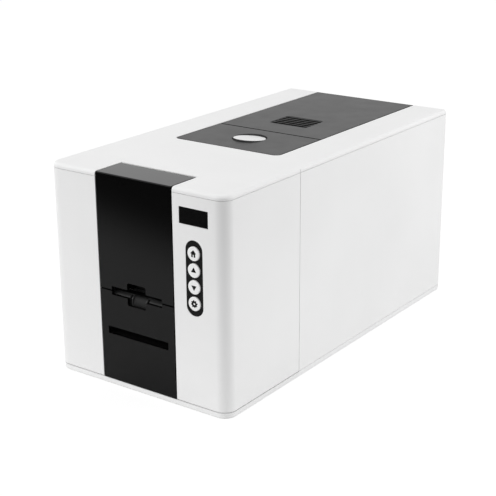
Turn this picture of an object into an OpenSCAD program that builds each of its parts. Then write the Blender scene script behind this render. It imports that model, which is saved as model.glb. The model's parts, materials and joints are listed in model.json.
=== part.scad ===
// Desktop ID card printer. Front faces -Y, the floor is Z = 0, the origin is the bottom centre.

/* [Body] */
// Width over the side walls
body_w = 192; // [180:1:230]
// Depth from the front face to the rear wall
body_d = 378; // [376:1:400]
// Height over the top cover
body_h = 195.5; // [192:0.5:215]
// Height of the seam between base tray and shells
base_h = 6; // [5:0.5:9]
// Height of the top cover's rim above its seam
cover_h = 4.5; // [4.5:0.5:7]
// Length of the front shell, from the front face to the side seam
front_len = 107.2; // [100:0.1:120]
// Wall thickness of the shells
wall = 2.5; // [2:0.1:3]
// Radius of the two front vertical corners
corner_r = 11.5; // [8:0.5:14]
// Radius of the two rear vertical corners
rear_r = 3.5; // [3.2:0.1:6]
// Radius of the rounded edge round the top cover
top_r = 3; // [1:0.5:3]
// Radius of the rounded edge round the bottom of the base tray
base_r = 1.5; // [0.5:0.5:2]
// Width of the seams between the shells
seam = 0.6; // [0.4:0.1:1]
// Width of the seam under the top cover
cover_seam = 0.35; // [0.25:0.05:0.8]
// Extra width of the shadow gap under the front shell
shadow = 0.5; // [0.2:0.1:0.8]
// Thickness of the locating lips behind the seams
lip_t = 1.5; // [1:0.1:2]
// Height of the locating lips
lip_h = 4; // [2:0.5:5]

/* [Feet] */
// Diameter of a rubber foot
foot_d = 14; // [10:1:18]
// How far a foot stands out under the base tray
foot_h = 1.2; // [0.8:0.1:2]
// Depth of a foot's seat in the base tray
foot_seat = 0.8; // [0.5:0.1:1]
// Distance of a foot's centre from the side and end walls
foot_in = 20; // [18:1:30]

/* [Front panel] */
// Width of the black front panel and door
panel_w = 82; // [78:0.5:84]
// Thickness of the panel and the door
panel_t = 3; // [2.5:0.1:3.5]
// Height of the split between panel and door
split_z = 90.5; // [90.3:0.1:91]
// Gap beside and behind the panel and the door
panel_gap = 0.9; // [0.5:0.1:1.1]
// Gap between the panel and the door
split_gap = 0.9; // [0.4:0.1:1.2]
// How far the door wraps over the top
wrap_len = 34; // [30:0.5:40]
// Radius of the door's fold
fold_r = 1; // [0.5:0.1:1.5]
// Radius of the hinge bead along the door's top edge
door_bead_r = 2.2; // [2:0.1:2.2]
// Radius of the door's hinge pin
door_pin_r = 1; // [0.8:0.1:1.2]
// Width of the card slot on the split
slot_w = 56; // [55:0.5:60]
// Height of the card slot on the split
slot_h = 7.8; // [7:0.1:9]
// Width of the finger notches over and under the card slot
notch_w = 20.7; // [16:0.1:24]
// Height over both finger notches
notch_h = 21; // [16:0.5:24]
// Width of the lower card slot
out_w = 67.4; // [60:0.1:70]
// Height of the lower card slot
out_h = 7; // [6:0.1:9]
// Height of the lower card slot's centre line
out_z = 52.8; // [50:0.1:55]

/* [Display and keys] */
// Width of the display window
win_w = 29.5; // [26:0.1:32]
// Height of the display window
win_h = 14.3; // [12:0.1:16]
// Distance from the top down to the display window's centre
win_in = 22.3; // [21.5:0.1:24.5]
// Distance of display and keys from the middle plane
key_x = 63.6; // [62:0.1:66]
// Width of the dark key bezel
cap_w = 17.2; // [16.5:0.1:19]
// Height of the dark key bezel
cap_h = 66; // [62:0.1:68]
// Distance from the top down to the key bezel's centre
cap_in = 74.9; // [73:0.1:78]
// Diameter of a key
key_d = 12.2; // [11:0.1:12.6]
// Distance between the keys
key_pitch = 14.55; // [14.4:0.05:15]
// Travel of a key
key_travel = 0.8; // [0.5:0.1:1]
// How far a key stands out of the front
key_out = 1; // [0.4:0.1:1.2]

/* [Top] */
// Width of the dark panels on top
deck_w = 116; // [110:1:118]
// Distance from the front face to the dark panels
deck_start = 128; // [126:1:132]
// Corner radius of the dark panels
deck_r = 5.5; // [3:0.5:8]
// Distance from the front face to the lid's front edge
lid_start = 198.5; // [197:0.5:200]
// Thickness of the lid and the button panel
lid_t = 3; // [2.5:0.1:3.2]
// Gap round the lid and the button panel
lid_gap = 0.8; // [0.5:0.1:1]
// Radius of the hinge bead along the lid's rear edge
lid_bead_r = 3.2; // [3:0.1:3.5]
// Radius of the lid's hinge pins
lid_pin_r = 1.5; // [1.2:0.1:1.8]
// Diameter of the round release button
button_d = 31.8; // [28:0.1:34]
// Distance from the front face to the button's centre
button_in = 166.7; // [165:0.1:168]
// Travel of the release button
button_travel = 2; // [1.5:0.1:2.5]
// Slope of the button's top down to the rear
button_slope = 5.5; // [0:0.5:6]
// Width of the vent grille
vent_w = 42.6; // [42:0.1:46]
// Length of the vent grille
vent_l = 33.4; // [30:0.1:36]
// Distance from the front face to the vent's centre
vent_in = 245.2; // [244:0.1:247]
// Number of slits in the vent
slits = 5; // [3:1:5]
// Distance between the slits
slit_pitch = 6.1; // [5.5:0.1:6.3]
// Width of a slit
slit_w = 3; // [2:0.1:3.4]

/* [Card path] */
// Width of a card
card_w = 54; // [53.9:0.1:54.2]
// Length of a card
card_l = 85.6; // [85:0.1:86]
// Height of the card path's lower face
card_z = 89; // [88.8:0.1:89.2]
// Nip between upper and lower rollers with no card in it
nip = 0.5; // [0.4:0.1:0.7]
// Radius of the driven rollers
roller_r = 8; // [7.5:0.1:8.2]
// Radius of the pinch rollers
pinch_r = 6; // [5.5:0.1:6.5]
// Length of the rubber on the rollers
rubber_l = 44; // [36:1:46]
// Radius of the steel shafts
shaft_r = 2.5; // [2:0.1:2.5]
// Running clearance on radius of a shaft or pin in its bore
run = 0.05; // [0.02:0.01:0.08]
// Outer radius of a shaft bush
bush_r = 4.5; // [4:0.1:4.5]
// Distance from the front face to the pick roller
pick_in = 71; // [70:0.5:72]
// Distance from the front face to the feed roller
feed_in = 107; // [106:0.5:108]
// Distance from the front face to the cleaning roller
clean_in = 169; // [168:0.5:170]
// Distance from the front face to the platen roller
platen_in = 247; // [246:0.5:247.5]
// Distance from the front face to the rear roller
rear_in = 289; // [288:0.5:291]
// Radius of the belt pulleys at the belt's inner face
pulley_r = 7; // [6:0.1:7.2]
// Thickness of the timing belt
belt_t = 1.4; // [1:0.1:1.6]
// Width of the timing belt
belt_w = 6; // [5:0.5:7]
// Teeth on a pulley
pulley_teeth = 18; // [16:1:20]

/* [Ribbon] */
// Distance from the front face to the take-up spool
takeup_in = 211; // [210.5:0.5:212]
// Height of the take-up spool
takeup_z = 110; // [109:0.5:111]
// Distance from the front face to the supply spool
supply_in = 307; // [305:1:310]
// Height of the supply spool
supply_z = 128; // [126:1:130]
// Radius of the wound film on the supply spool
supply_r = 15; // [11:0.5:17]
// Radius of the wound film on the take-up spool
takeup_r = 8; // [7.5:0.5:9]
// Radius of the spool flanges
flange_r = 14; // [13:0.5:14.5]
// Width of the ribbon film
ribbon_w = 56; // [54:0.5:57]
// Gear module of the take-up drive
gear_m = 1; // [0.9:0.05:1]
// Teeth on the take-up gear
gear_teeth = 36; // [33:3:36]
// Teeth on the motor pinion
pinion_teeth = 12; // [11:1:12]

/* [Chassis] */
// Outside distance between the steel side plates
chassis_w = 123; // [121:0.5:125]
// Thickness of the steel plates
plate_t = 1.5; // [1:0.1:2]
// Height of the chassis floor
floor_z = 8.5; // [8.5:0.1:9.5]
// Distance from the top down to the side plates' top edge
plate_drop = 37.5; // [31.5:1:45.5]

/* [Hidden] */
$fn = 64;
eps = 0.01;

// Small clearance of a part that is slipped into its seat
fit = 0.15;
// Gap that a moving part keeps to what it rests on
seat = 0.3;

front_y = -body_d/2;
rear_y = body_d/2;
seam_y = front_y + front_len;
cover_z = body_h - cover_h;
cover_t = 2.5;
deck_y = front_y + deck_start;
lid_y = front_y + lid_start;
win_z = body_h - win_in;
cap_z = body_h - cap_in;
plate_top = body_h - plate_drop;
button_y = front_y + button_in;
vent_y = front_y + vent_in;
wrap_y = front_y + wrap_len;
opening_w = panel_w + 2*panel_gap;
inner_w = body_w - 2*wall;

// Hinge axes
door_axis_y = wrap_y - door_bead_r;
door_axis_z = body_h - door_bead_r;
lid_axis_y = rear_y - 0.5 - lid_bead_r;
lid_axis_z = body_h - lid_bead_r;

// Roller axes
pick_y = front_y + pick_in;
feed_y = front_y + feed_in;
clean_y = front_y + clean_in;
platen_y = front_y + platen_in;
rear_roll_y = front_y + rear_in;
roll_z = card_z - roller_r;
pinch_z = card_z + nip + pinch_r;
clean_z = card_z + nip + roller_r;
takeup_y = front_y + takeup_in;
supply_y = front_y + supply_in;
gear_c = gear_m*(gear_teeth + pinion_teeth)/2 + 0.2;

plate_x = chassis_w/2;
plate_in = plate_x - plate_t;

// Outline of the housing seen from above, drawn in by inset, from y_a to y_b
module outline(inset, y_a, y_b, r_a, r_b) {
    w = body_w/2 - inset;
    translate([-w, y_a + r_a]) square([2*w, y_b - y_a - r_a - r_b]);
    if (r_a > 0) {
        translate([-w + r_a, y_a]) square([2*(w - r_a), r_a + eps]);
        for (s = [-1, 1]) translate([s*(w - r_a), y_a + r_a]) circle(r_a);
    }
    if (r_b > 0) {
        translate([-w + r_b, y_b - r_b - eps]) square([2*(w - r_b), r_b + eps]);
        for (s = [-1, 1]) translate([s*(w - r_b), y_b - r_b]) circle(r_b);
    }
}

// Whole outline of the housing
module full_outline(inset) {
    outline(inset, front_y + inset, rear_y - inset, corner_r - inset, max(rear_r - inset, 0.2));
}

// What a rounding of radius f takes off an edge whose corner is at the origin
module rounding(f) {
    difference() {
        translate([-f, -f]) square(f + 1);
        translate([-f, -f]) circle(f);
    }
}

// Rounding along one vertical corner of radius r, turned to its quarter
module corner_rounding(r, f, turn) {
    rotate([0, 0, turn]) rotate_extrude(angle = 90) translate([r, 0]) rounding(f);
}

// Slab with the housing's outline and a rounded upper edge
module round_slab(h, f) {
    w = body_w/2;
    difference() {
        linear_extrude(h) full_outline(0);
        translate([0, 0, h]) {
            for (s = [0, 1]) mirror([s, 0, 0]) {
                translate([w, rear_y - rear_r, 0]) rotate([90, 0, 0])
                    linear_extrude(body_d - corner_r - rear_r) rounding(f);
                translate([w - corner_r, front_y + corner_r, 0]) corner_rounding(corner_r, f, -90);
                translate([w - rear_r, rear_y - rear_r, 0]) corner_rounding(rear_r, f, 0);
            }
            x_extrude(-w + rear_r, w - rear_r) translate([rear_y, 0]) rounding(f);
            x_extrude(-w + corner_r, w - corner_r) translate([front_y, 0]) mirror([1, 0]) rounding(f);
        }
    }
}

// Rectangle with rounded corners, centred
module round_rect(w, h, r) {
    square([w - 2*r, h], center = true);
    square([w, h - 2*r], center = true);
    for (sx = [-1, 1], sy = [-1, 1]) translate([sx*(w/2 - r), sy*(h/2 - r)]) circle(r);
}

// Box between two corners
module block(a, b) {
    translate(a) cube(b - a);
}

// Box that is the same to the left and right of the middle plane
module wide_block(w, y_a, y_b, z_a, z_b) {
    block([-w/2, y_a, z_a], [w/2, y_b, z_b]);
}

// Pair of boxes mirrored about the middle plane
module both_blocks(x_a, x_b, y_a, y_b, z_a, z_b) {
    for (s = [0, 1]) mirror([s, 0, 0]) block([x_a, y_a, z_a], [x_b, y_b, z_b]);
}

// Cylinder lying along X between two distances from the middle plane
module x_rod(y, z, r, x_a, x_b) {
    translate([x_a, y, z]) rotate([0, 90, 0]) cylinder(r = r, h = x_b - x_a);
}

// Profile in the YZ plane drawn out along X
module x_extrude(x_a, x_b) {
    translate([x_a, 0, 0]) rotate([90, 0, 90]) linear_extrude(x_b - x_a) children();
}

// Outline in the XZ plane drawn back from the front face
module y_extrude(y_a, y_b) {
    translate([0, y_b, 0]) rotate([90, 0, 0]) linear_extrude(y_b - y_a) children();
}

// Places of the four feet
module at_feet() {
    for (sx = [-1, 1], sy = [-1, 1])
        translate([sx*(body_w/2 - foot_in), sy*(body_d/2 - foot_in), 0]) children();
}

// Places of the bosses that carry the chassis floor
chassis_screw_x = plate_x - 9.5;
chassis_screw_y = body_d/2 - 37;
module at_chassis_screws() {
    for (sx = [-1, 1], y = [-chassis_screw_y, 0, chassis_screw_y])
        translate([sx*chassis_screw_x, y, 0]) children();
}

// Places of the screws that hold the cover, beside the side walls
boss_x = body_w/2 - wall - 4;
front_boss_y = [front_y + 30, seam_y - 14];
rear_boss_y = [seam_y + 14, (seam_y + rear_y)/2, rear_y - 16];
boss_z = cover_z - 7;
boss_h = 8;

module at_boss(ys) {
    for (sx = [-1, 1], y = ys) translate([sx*boss_x, y, 0]) children();
}

// Boss on a side wall that the cover's boss stands on
module wall_boss() {
    difference() {
        translate([0, 0, boss_z - boss_h]) cylinder(r = 4.5, h = boss_h);
        translate([0, 0, boss_z - boss_h - 1]) cylinder(r = 1.7, h = boss_h + 2);
    }
}

tray_floor = 2;
tray_top = base_h - seam/2;

module base_tray() color("whitesmoke") {
    difference() {
        translate([0, 0, tray_top]) mirror([0, 0, 1]) round_slab(tray_top - foot_h, base_r);
        translate([0, 0, foot_h + tray_floor]) linear_extrude(body_h) full_outline(2*wall);
        // The front section's shadow gap is wider than the rear one's
        translate([0, 0, tray_top - shadow]) linear_extrude(body_h)
            difference() {
                outline(-1, front_y - 1, seam_y, 0, 0);
                full_outline(wall);
            }
        at_feet() translate([0, 0, foot_h - eps]) cylinder(d = foot_d, h = foot_seat + eps);
        for (i = [-4:4]) translate([i*10, 60, foot_h - 1]) linear_extrude(tray_floor + 2)
            round_rect(3, 50, 1.4);
    }
    // Locating lip inside the shells
    difference() {
        translate([0, 0, foot_h + tray_floor]) linear_extrude(base_h + lip_h - foot_h - tray_floor)
            difference() {
                full_outline(wall + fit);
                full_outline(wall + fit + lip_t);
            }
        wide_block(opening_w + 2*jamb_t + 1, front_y, front_y + 20, tray_top, body_h);
        wide_block(io_w + 2, rear_y - 10, rear_y, tray_top, body_h);
    }
    // Bosses under the chassis floor
    at_chassis_screws() difference() {
        translate([0, 0, foot_h + tray_floor]) cylinder(r = 4, h = floor_z - foot_h - tray_floor);
        translate([0, 0, foot_h + tray_floor + 0.5]) cylinder(r = 1.3, h = floor_z);
    }
}

module rubber_feet() color("dimgray") at_feet() {
    cylinder(d = foot_d - 2*fit, h = foot_h + foot_seat);
}

// Front shell: walls, jambs beside the black front, and the window and key openings
jamb_t = 2;
jamb_l = 22;
web_t = 1.8;
web_y = front_y + panel_t + 0.2;
shell_z = base_h + seam/2;
shell_top = cover_z - cover_seam/2;
cap_r = cap_w/2;

module key_outline(grow) {
    translate([key_x, cap_z]) round_rect(cap_w + 2*grow, cap_h + 2*grow, cap_r + grow - eps);
}

module front_shell() color("whitesmoke") {
    difference() {
        translate([0, 0, shell_z]) linear_extrude(shell_top - shell_z) difference() {
            outline(0, front_y, seam_y - seam/2, corner_r, 0);
            outline(wall, front_y + wall, seam_y, corner_r - wall, 0);
        }
        wide_block(opening_w, front_y - 1, front_y + 10, 0, body_h);
        y_extrude(front_y - 1, front_y + 10) {
            key_outline(fit);
            translate([key_x, win_z]) square([win_w + 2*fit, win_h + 2*fit], center = true);
        }
    }
    // Jambs
    both_blocks(opening_w/2, opening_w/2 + jamb_t, front_y + wall - eps, front_y + jamb_l,
                shell_z, cover_z - lip_h - 0.5);
    // Web that links both sides behind the lower panel
    difference() {
        wide_block(opening_w + eps, web_y, web_y + web_t, shell_z, split_z - notch_h/2 - 3);
        wide_block(out_w + 4, front_y, front_y + 10, out_z - out_h/2 - 4, out_z + out_h/2 + 4);
    }
    // Frame that holds the key bezel and the window from behind
    difference() {
        block([key_x - win_w/2 - 2, front_y + wall - eps, cap_z - cap_h/2 - 3],
              [key_x + win_w/2 + 2, front_y + wall + 1.5, win_z + win_h/2 + 2]);
        y_extrude(front_y, front_y + 10) {
            key_outline(-1.2);
            translate([key_x, win_z]) square([win_w - 2, win_h - 2], center = true);
        }
    }
    // Standoffs of the front board
    for (x = board_x, z = board_z) translate([x, front_y + wall - eps, z]) rotate([-90, 0, 0])
        cylinder(r = 2, h = board_gap + eps);
    at_boss(front_boss_y) wall_boss();
}

// Front board with the display module and one dome switch behind each key
board_gap = 6;
board_t = 1.6;
board_y = front_y + wall + board_gap;
board_x = [key_x - 15, key_x + 15];
board_z = [cap_z - cap_h/2 - 1, win_z + win_h/2 + 4];
key_z = [for (i = [0:3]) cap_z + (1.5 - i)*key_pitch];
key_flange = 1.2;

module front_board() color("seagreen") {
    difference() {
        block([board_x[0] - 4, board_y, board_z[0] - 4], [board_x[1] + 4, board_y + board_t, board_z[1] + 4]);
        for (x = board_x, z = board_z) translate([x, board_y - 1, z]) rotate([-90, 0, 0])
            cylinder(r = 1.2, h = 5);
    }
    // Display module
    block([key_x - win_w/2 - 1, front_y + wall + 1.5 + fit, win_z - win_h/2 - 1],
          [key_x + win_w/2 + 1, board_y, win_z + win_h/2 + 1]);
    // Dome switches
    for (z = key_z) {
        block([key_x - 3, board_y - 0.7, z - 3], [key_x + 3, board_y, z + 3]);
        translate([key_x, board_y - 1.2, z]) rotate([-90, 0, 0]) cylinder(r = 1.5, h = 1);
    }
}

module display_window() color("black") {
    block([key_x - win_w/2, front_y + 0.1, win_z - win_h/2],
          [key_x + win_w/2, front_y + wall - 2*eps, win_z + win_h/2]);
}

module key_bezel() color("dimgray") {
    difference() {
        y_extrude(front_y + 0.05, front_y + wall - 2*eps) key_outline(0);
        for (z = key_z) translate([key_x, front_y - 1, z]) rotate([-90, 0, 0])
            cylinder(d = key_d + 2*seat, h = 10);
    }
}

// Key cap with a slightly domed face, a flange behind the bezel and a stem over the switch
module key_cap(z) {
    travel_room = key_travel + 0.1;
    translate([key_x, front_y, z]) rotate([-90, 0, 0]) {
        translate([0, 0, 0.25 - key_out]) cylinder(d = key_d, h = wall + seat + key_out - 0.25 + eps);
        translate([0, 0, -key_out]) cylinder(d = key_d - 1, h = 1);
        translate([0, 0, wall + seat]) cylinder(d = key_d + 1.6, h = key_flange);
        translate([0, 0, wall]) cylinder(r = 2.2, h = board_gap - 1.2 - travel_room);
    }
}

module key_home() color("whitesmoke") key_cap(key_z[0]);
module key_up() color("whitesmoke") key_cap(key_z[1]);
module key_down() color("whitesmoke") key_cap(key_z[2]);
module key_menu() color("whitesmoke") key_cap(key_z[3]);

// Rear shell: side walls and rear wall in one moulding
io_w = 150;
io_h = 40;
io_z = 36;
io_t = 2;

module rear_shell() color("whitesmoke") {
    difference() {
        translate([0, 0, base_h]) linear_extrude(shell_top - base_h) difference() {
            outline(0, seam_y + seam/2, rear_y, 0, rear_r);
            outline(wall, seam_y, rear_y - wall, 0, rear_r - wall);
        }
        // Window for the connector plate
        block([-io_w/2 - fit, rear_y - 10, io_z - io_h/2 - fit], [io_w/2 + fit, rear_y + 1, io_z + io_h/2 + fit]);
        // Room for the lid's hinge bead
        wide_block(deck_w + 2*seat, rear_y - 10, rear_y + 1, lid_axis_z - lid_bead_r - 0.8, body_h);
        // Cooling slots low in the left wall's rear end
        for (i = [0:6]) translate([-body_w/2 - 1, rear_y - 40 - i*8, io_z]) rotate([0, 90, 0])
            linear_extrude(wall + 2) round_rect(24, 3, 1.4);
    }
    // Tongue that slips into the front shell
    both_blocks(inner_w/2 - fit - lip_t, inner_w/2 - fit, seam_y - lip_h, seam_y + seam/2 + 6,
                base_h + lip_h + 1, boss_z - boss_h);
    // Steps that join the tongue to the wall
    both_blocks(inner_w/2 - fit - lip_t, inner_w/2 + eps, seam_y + seam/2 + eps, seam_y + seam/2 + 6,
                base_h + lip_h + 1, boss_z - boss_h);
    at_boss(rear_boss_y) wall_boss();
}

// Top cover: one moulding with the door notch and the deck opening cut out
rail_t = 2;
rail_h = 14.5;
rail_z = body_h - rail_h;
deck_open_w = deck_w + 2*lid_gap;
ledge_z = body_h - lid_t;
ledge_l = 3.5;
beam_y = lid_y - 3;
groove = 0.6;

module deck_outline(grow, y_a, y_b) {
    w = deck_w + 2*grow;
    r = deck_r + grow;
    translate([-w/2, y_a - grow + r]) square([w, y_b - y_a + grow - r]);
    translate([-w/2 + r, y_a - grow]) square([w - 2*r, r + eps]);
    for (s = [-1, 1]) translate([s*(w/2 - r), y_a - grow + r]) circle(r);
}

module top_cover() color("whitesmoke") {
    difference() {
        union() {
            difference() {
                translate([0, 0, cover_z + cover_seam/2]) round_slab(body_h - cover_z - cover_seam/2, top_r);
                linear_extrude(body_h - cover_t) full_outline(wall);
            }
            // Locating lip inside the shells
            translate([0, 0, cover_z - lip_h]) linear_extrude(cover_t + lip_h) difference() {
                full_outline(wall + fit);
                full_outline(wall + fit + lip_t);
            }
            // Frame round the deck opening, with the ledge that carries the button panel
            translate([0, 0, rail_z]) linear_extrude(body_h - cover_t - rail_z + eps)
                deck_outline(lid_gap + rail_t, deck_y, lid_axis_y - 8);
            // Rib along the rear edge of the door notch
            wide_block(opening_w + 12, wrap_y + panel_gap, wrap_y + panel_gap + rail_t,
                       hopper_top + 1, body_h - cover_t + eps);
            // Bosses that carry the hinge pins
            both_blocks(opening_w/2 + eps, opening_w/2 + 6, door_axis_y - 4, door_axis_y + 6,
                        door_axis_z - 4, body_h - cover_t + eps);
            both_blocks(deck_open_w/2, deck_open_w/2 + 6, lid_axis_y - 5, rear_y - wall - fit,
                        lid_axis_z - 5, body_h - cover_t + eps);
            at_boss(concat(front_boss_y, rear_boss_y)) translate([0, 0, boss_z])
                cylinder(r = 3.5, h = body_h - cover_t - boss_z + eps);
        }
        // Door notch
        wide_block(opening_w, front_y - 1, wrap_y + panel_gap, 0, body_h + 1);
        // Deck opening, closed underneath only by its ledge
        difference() {
            translate([0, 0, rail_z - 1]) linear_extrude(body_h) deck_outline(lid_gap, deck_y, rear_y + 1);
            translate([0, 0, ledge_z - 2]) linear_extrude(2 - eps) difference() {
                deck_outline(lid_gap + eps, deck_y, lid_y - 5);
                deck_outline(-ledge_l, deck_y, lid_y);
            }
        }
        // Room for the lid's hinge bead
        wide_block(deck_open_w, lid_axis_y - 8, rear_y + 1, 0, body_h + 1);
        x_rod(door_axis_y, door_axis_z, door_pin_r + 0.02, -opening_w/2 - 5, opening_w/2 + 5);
        x_rod(lid_axis_y, lid_axis_z, lid_pin_r + 0.02, -deck_open_w/2 - 5, deck_open_w/2 + 5);
        // Short groove in the rim over the side seam
        both_blocks(body_w/2 - groove, body_w/2 + 1, seam_y - seam/2, seam_y + seam/2,
                    cover_z - 1, body_h - top_r/2);
        at_boss(concat(front_boss_y, rear_boss_y)) translate([0, 0, boss_z - 1])
            cylinder(r = 1.25, h = cover_z - boss_z + 1);
    }
}

// Hinge pins of the door and the lid
lid_pin_l = 10;
module hinge_pins() color("silver") {
    x_rod(door_axis_y, door_axis_z, door_pin_r, -opening_w/2 - 4.8, opening_w/2 + 4.8);
    for (s = [0, 1]) mirror([s, 0, 0])
        x_rod(lid_axis_y, lid_axis_z, lid_pin_r, deck_w/2 - lid_pin_l, deck_open_w/2 + 4.8);
}

module case_screws() color("silver") {
    at_boss(concat(front_boss_y, rear_boss_y)) translate([0, 0, boss_z - boss_h]) {
        translate([0, 0, -2]) cylinder(r = 2.8, h = 2);
        translate([0, 0, -eps]) cylinder(r = 1.2, h = cover_z - boss_z + boss_h - 1);
    }
}

// Card slot and finger notches, seen from the front
module slot_outline() {
    translate([0, split_z]) {
        square([slot_w, slot_h], center = true);
        round_rect(notch_w, notch_h, 2);
    }
}

module lower_front_panel() color("black") {
    difference() {
        wide_block(panel_w, front_y, front_y + panel_t, base_h + seam/2 + shadow, split_z - split_gap/2);
        y_extrude(front_y - 1, front_y + panel_t + 1) {
            slot_outline();
            translate([0, out_z]) round_rect(out_w, out_h, 0.6);
        }
    }
    // Pads that seat the panel on the web
    for (s = [0, 1]) mirror([s, 0, 0]) for (z = [base_h + 10, out_z + out_h/2 + 12])
        block([panel_w/2 - 12, front_y + panel_t - eps, z], [panel_w/2 - 4, web_y, z + 8]);
}

// Front door: a folded plate that hangs from a bead along its top rear edge
door_rib_x = panel_w/2 - 3.6;
door_rib_t = 1.6;
door_rib_l = 8;
module front_door() color("black") {
    y_a = front_y;
    z_a = split_z + split_gap/2;
    x = panel_w/2;
    difference() {
        union() {
            // Folded plate
            x_extrude(-x, x) {
                translate([y_a, z_a]) square([panel_t, body_h - fold_r - z_a]);
                translate([y_a + fold_r, body_h - panel_t]) square([door_axis_y - y_a - fold_r, panel_t]);
                translate([y_a + fold_r, body_h - fold_r]) circle(fold_r);
                translate([y_a + fold_r, body_h - panel_t - 2]) square([panel_t + 1, panel_t + 2 - fold_r]);
                translate([door_axis_y, door_axis_z]) circle(door_bead_r);
                // Gusset inside the fold
                polygon([[y_a + panel_t - eps, body_h - panel_t + eps],
                         [y_a + panel_t + 5, body_h - panel_t + eps],
                         [y_a + panel_t - eps, body_h - panel_t - 5]]);
            }
            // Side ribs
            for (s = [0, 1]) mirror([s, 0, 0]) x_extrude(door_rib_x, door_rib_x + door_rib_t)
                polygon([[y_a + panel_t - eps, z_a + 14],
                         [y_a + panel_t + door_rib_l, z_a + 22],
                         [y_a + panel_t + door_rib_l, body_h - panel_t - 2],
                         [y_a + panel_t + door_rib_l + 6, body_h - panel_t + eps],
                         [y_a + panel_t - eps, body_h - panel_t + eps]]);
        }
        y_extrude(front_y - 1, front_y + panel_t + eps) slot_outline();
        x_rod(door_axis_y, door_axis_z, door_pin_r + run, -x - 1, x + 1);
    }
}

// Button panel: the fixed front part of the deck, with the slide rails underneath
button_gap = 0.6;
ring_t = 1.6;
skirt_t = 2;
skirt_y = lid_y - lid_gap/2;
latch_drop = 11.5;
latch_z = body_h - latch_drop;
latch_t = 3;
latch_w = 16;
latch_tip_w = 8;
latch_front = button_y - 10;
strike_y = lid_y + 3.5;
strike_gap = 0.7;
window_w = 7;
stem_w = 6;
stem_l = 4;
stem_tip = latch_z - 0.5;

module button_panel() color("#6e6e6e") {
    difference() {
        union() {
            translate([0, 0, ledge_z]) linear_extrude(lid_t) deck_outline(0, deck_y, skirt_y);
            translate([0, button_y, ledge_z - 4]) cylinder(d = button_d + 2*(button_gap + 1.2 + ring_t), h = 4 + eps);
        }
        translate([0, button_y, 0]) cylinder(d = button_d + 2*button_gap, h = body_h + 1);
        translate([0, button_y, 0]) cylinder(d = button_d + 2*(button_gap + 1.2), h = ledge_z);
    }
    // Skirt behind the lid's front edge, with the latch window
    difference() {
        wide_block(deck_w - 2*ledge_l - 2, skirt_y - skirt_t, skirt_y, rail_z, ledge_z + eps);
        wide_block(latch_tip_w + 2*seat, skirt_y - skirt_t - 1, skirt_y + 1, latch_z - seat, latch_z + latch_t + seat);
    }
    // Rails of the latch slide, with lips under its edges
    for (s = [0, 1]) mirror([s, 0, 0]) {
        block([latch_w/2 + seat, latch_front - 2, latch_z - seat - 1.2],
              [latch_w/2 + seat + 1.6, skirt_y - skirt_t + eps, ledge_z - 4]);
        block([latch_w/2 - 1, latch_front - 2, latch_z - seat - 1.2],
              [latch_w/2 + seat + eps, skirt_y - skirt_t + eps, latch_z - seat]);
        block([latch_w/2 + seat, button_y + button_d/2 + 2, ledge_z - 4 - eps],
              [latch_w/2 + seat + 1.6, skirt_y - skirt_t + eps, ledge_z + eps]);
        block([latch_w/2 + seat, button_y - button_d/2 - 5, latch_z],
              [latch_w/2 + seat + 1.6, button_y - button_d/2 - 2, ledge_z + eps]);
        block([latch_w/2 + seat, button_y - button_d/2 - 5, latch_z],
              [latch_w/2 + seat + 1.6, latch_front, ledge_z - 4]);
    }
}

module release_button() color("whitesmoke") translate([0, button_y, 0]) {
    difference() {
        translate([0, 0, ledge_z - 1.5]) cylinder(d = button_d, h = lid_t + 5);
        translate([0, 0, body_h]) rotate([-button_slope, 0, 0]) translate([-button_d, -button_d, 0])
            cube([2*button_d, 2*button_d, 10]);
    }
    translate([0, 0, ledge_z - seat - 1.5]) cylinder(d = button_d + 2*0.9, h = 1.5);
    // Stem with a wedge tip in the slide's window
    x_extrude(-stem_w/2, stem_w/2)
        polygon([[stem_l/2, ledge_z], [stem_l/2, stem_tip], [-stem_l/2, stem_tip + stem_l], [-stem_l/2, ledge_z]]);
}

// Latch slide: the ramp runs parallel to the stem's wedge, so it moves as far back as the button goes down
module latch_slide() color("gray") {
    difference() {
        union() {
            wide_block(latch_w, latch_front, button_y + 8, latch_z, latch_z + latch_t);
            wide_block(latch_tip_w, button_y + 7, strike_y - strike_gap, latch_z, latch_z + latch_t);
        }
        x_extrude(-window_w/2, window_w/2) translate([button_y, 0])
            polygon([[stem_l/2 + button_travel + seat, latch_z - 1],
                     [stem_l/2 + button_travel + seat, latch_z + latch_t + 1],
                     [stem_l/2 - (latch_z + latch_t + 1 - stem_tip) - seat*sqrt(2), latch_z + latch_t + 1],
                     [stem_l/2 - (latch_z - 1 - stem_tip) - seat*sqrt(2), latch_z - 1]]);
    }
}

// Lid: a ribbed plate with a hinge bead along its rear edge and a strike behind its front edge
rib_x = deck_w/2 - 7;
rib_t = 1.5;
rib_h = 5;
vent_r = 4;
grille_step = 1;
grille_drop = 0.4;

module vent_outline(grow) {
    translate([0, vent_y]) round_rect(vent_w + 2*grow, vent_l + 2*grow, vent_r + grow);
}

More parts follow.
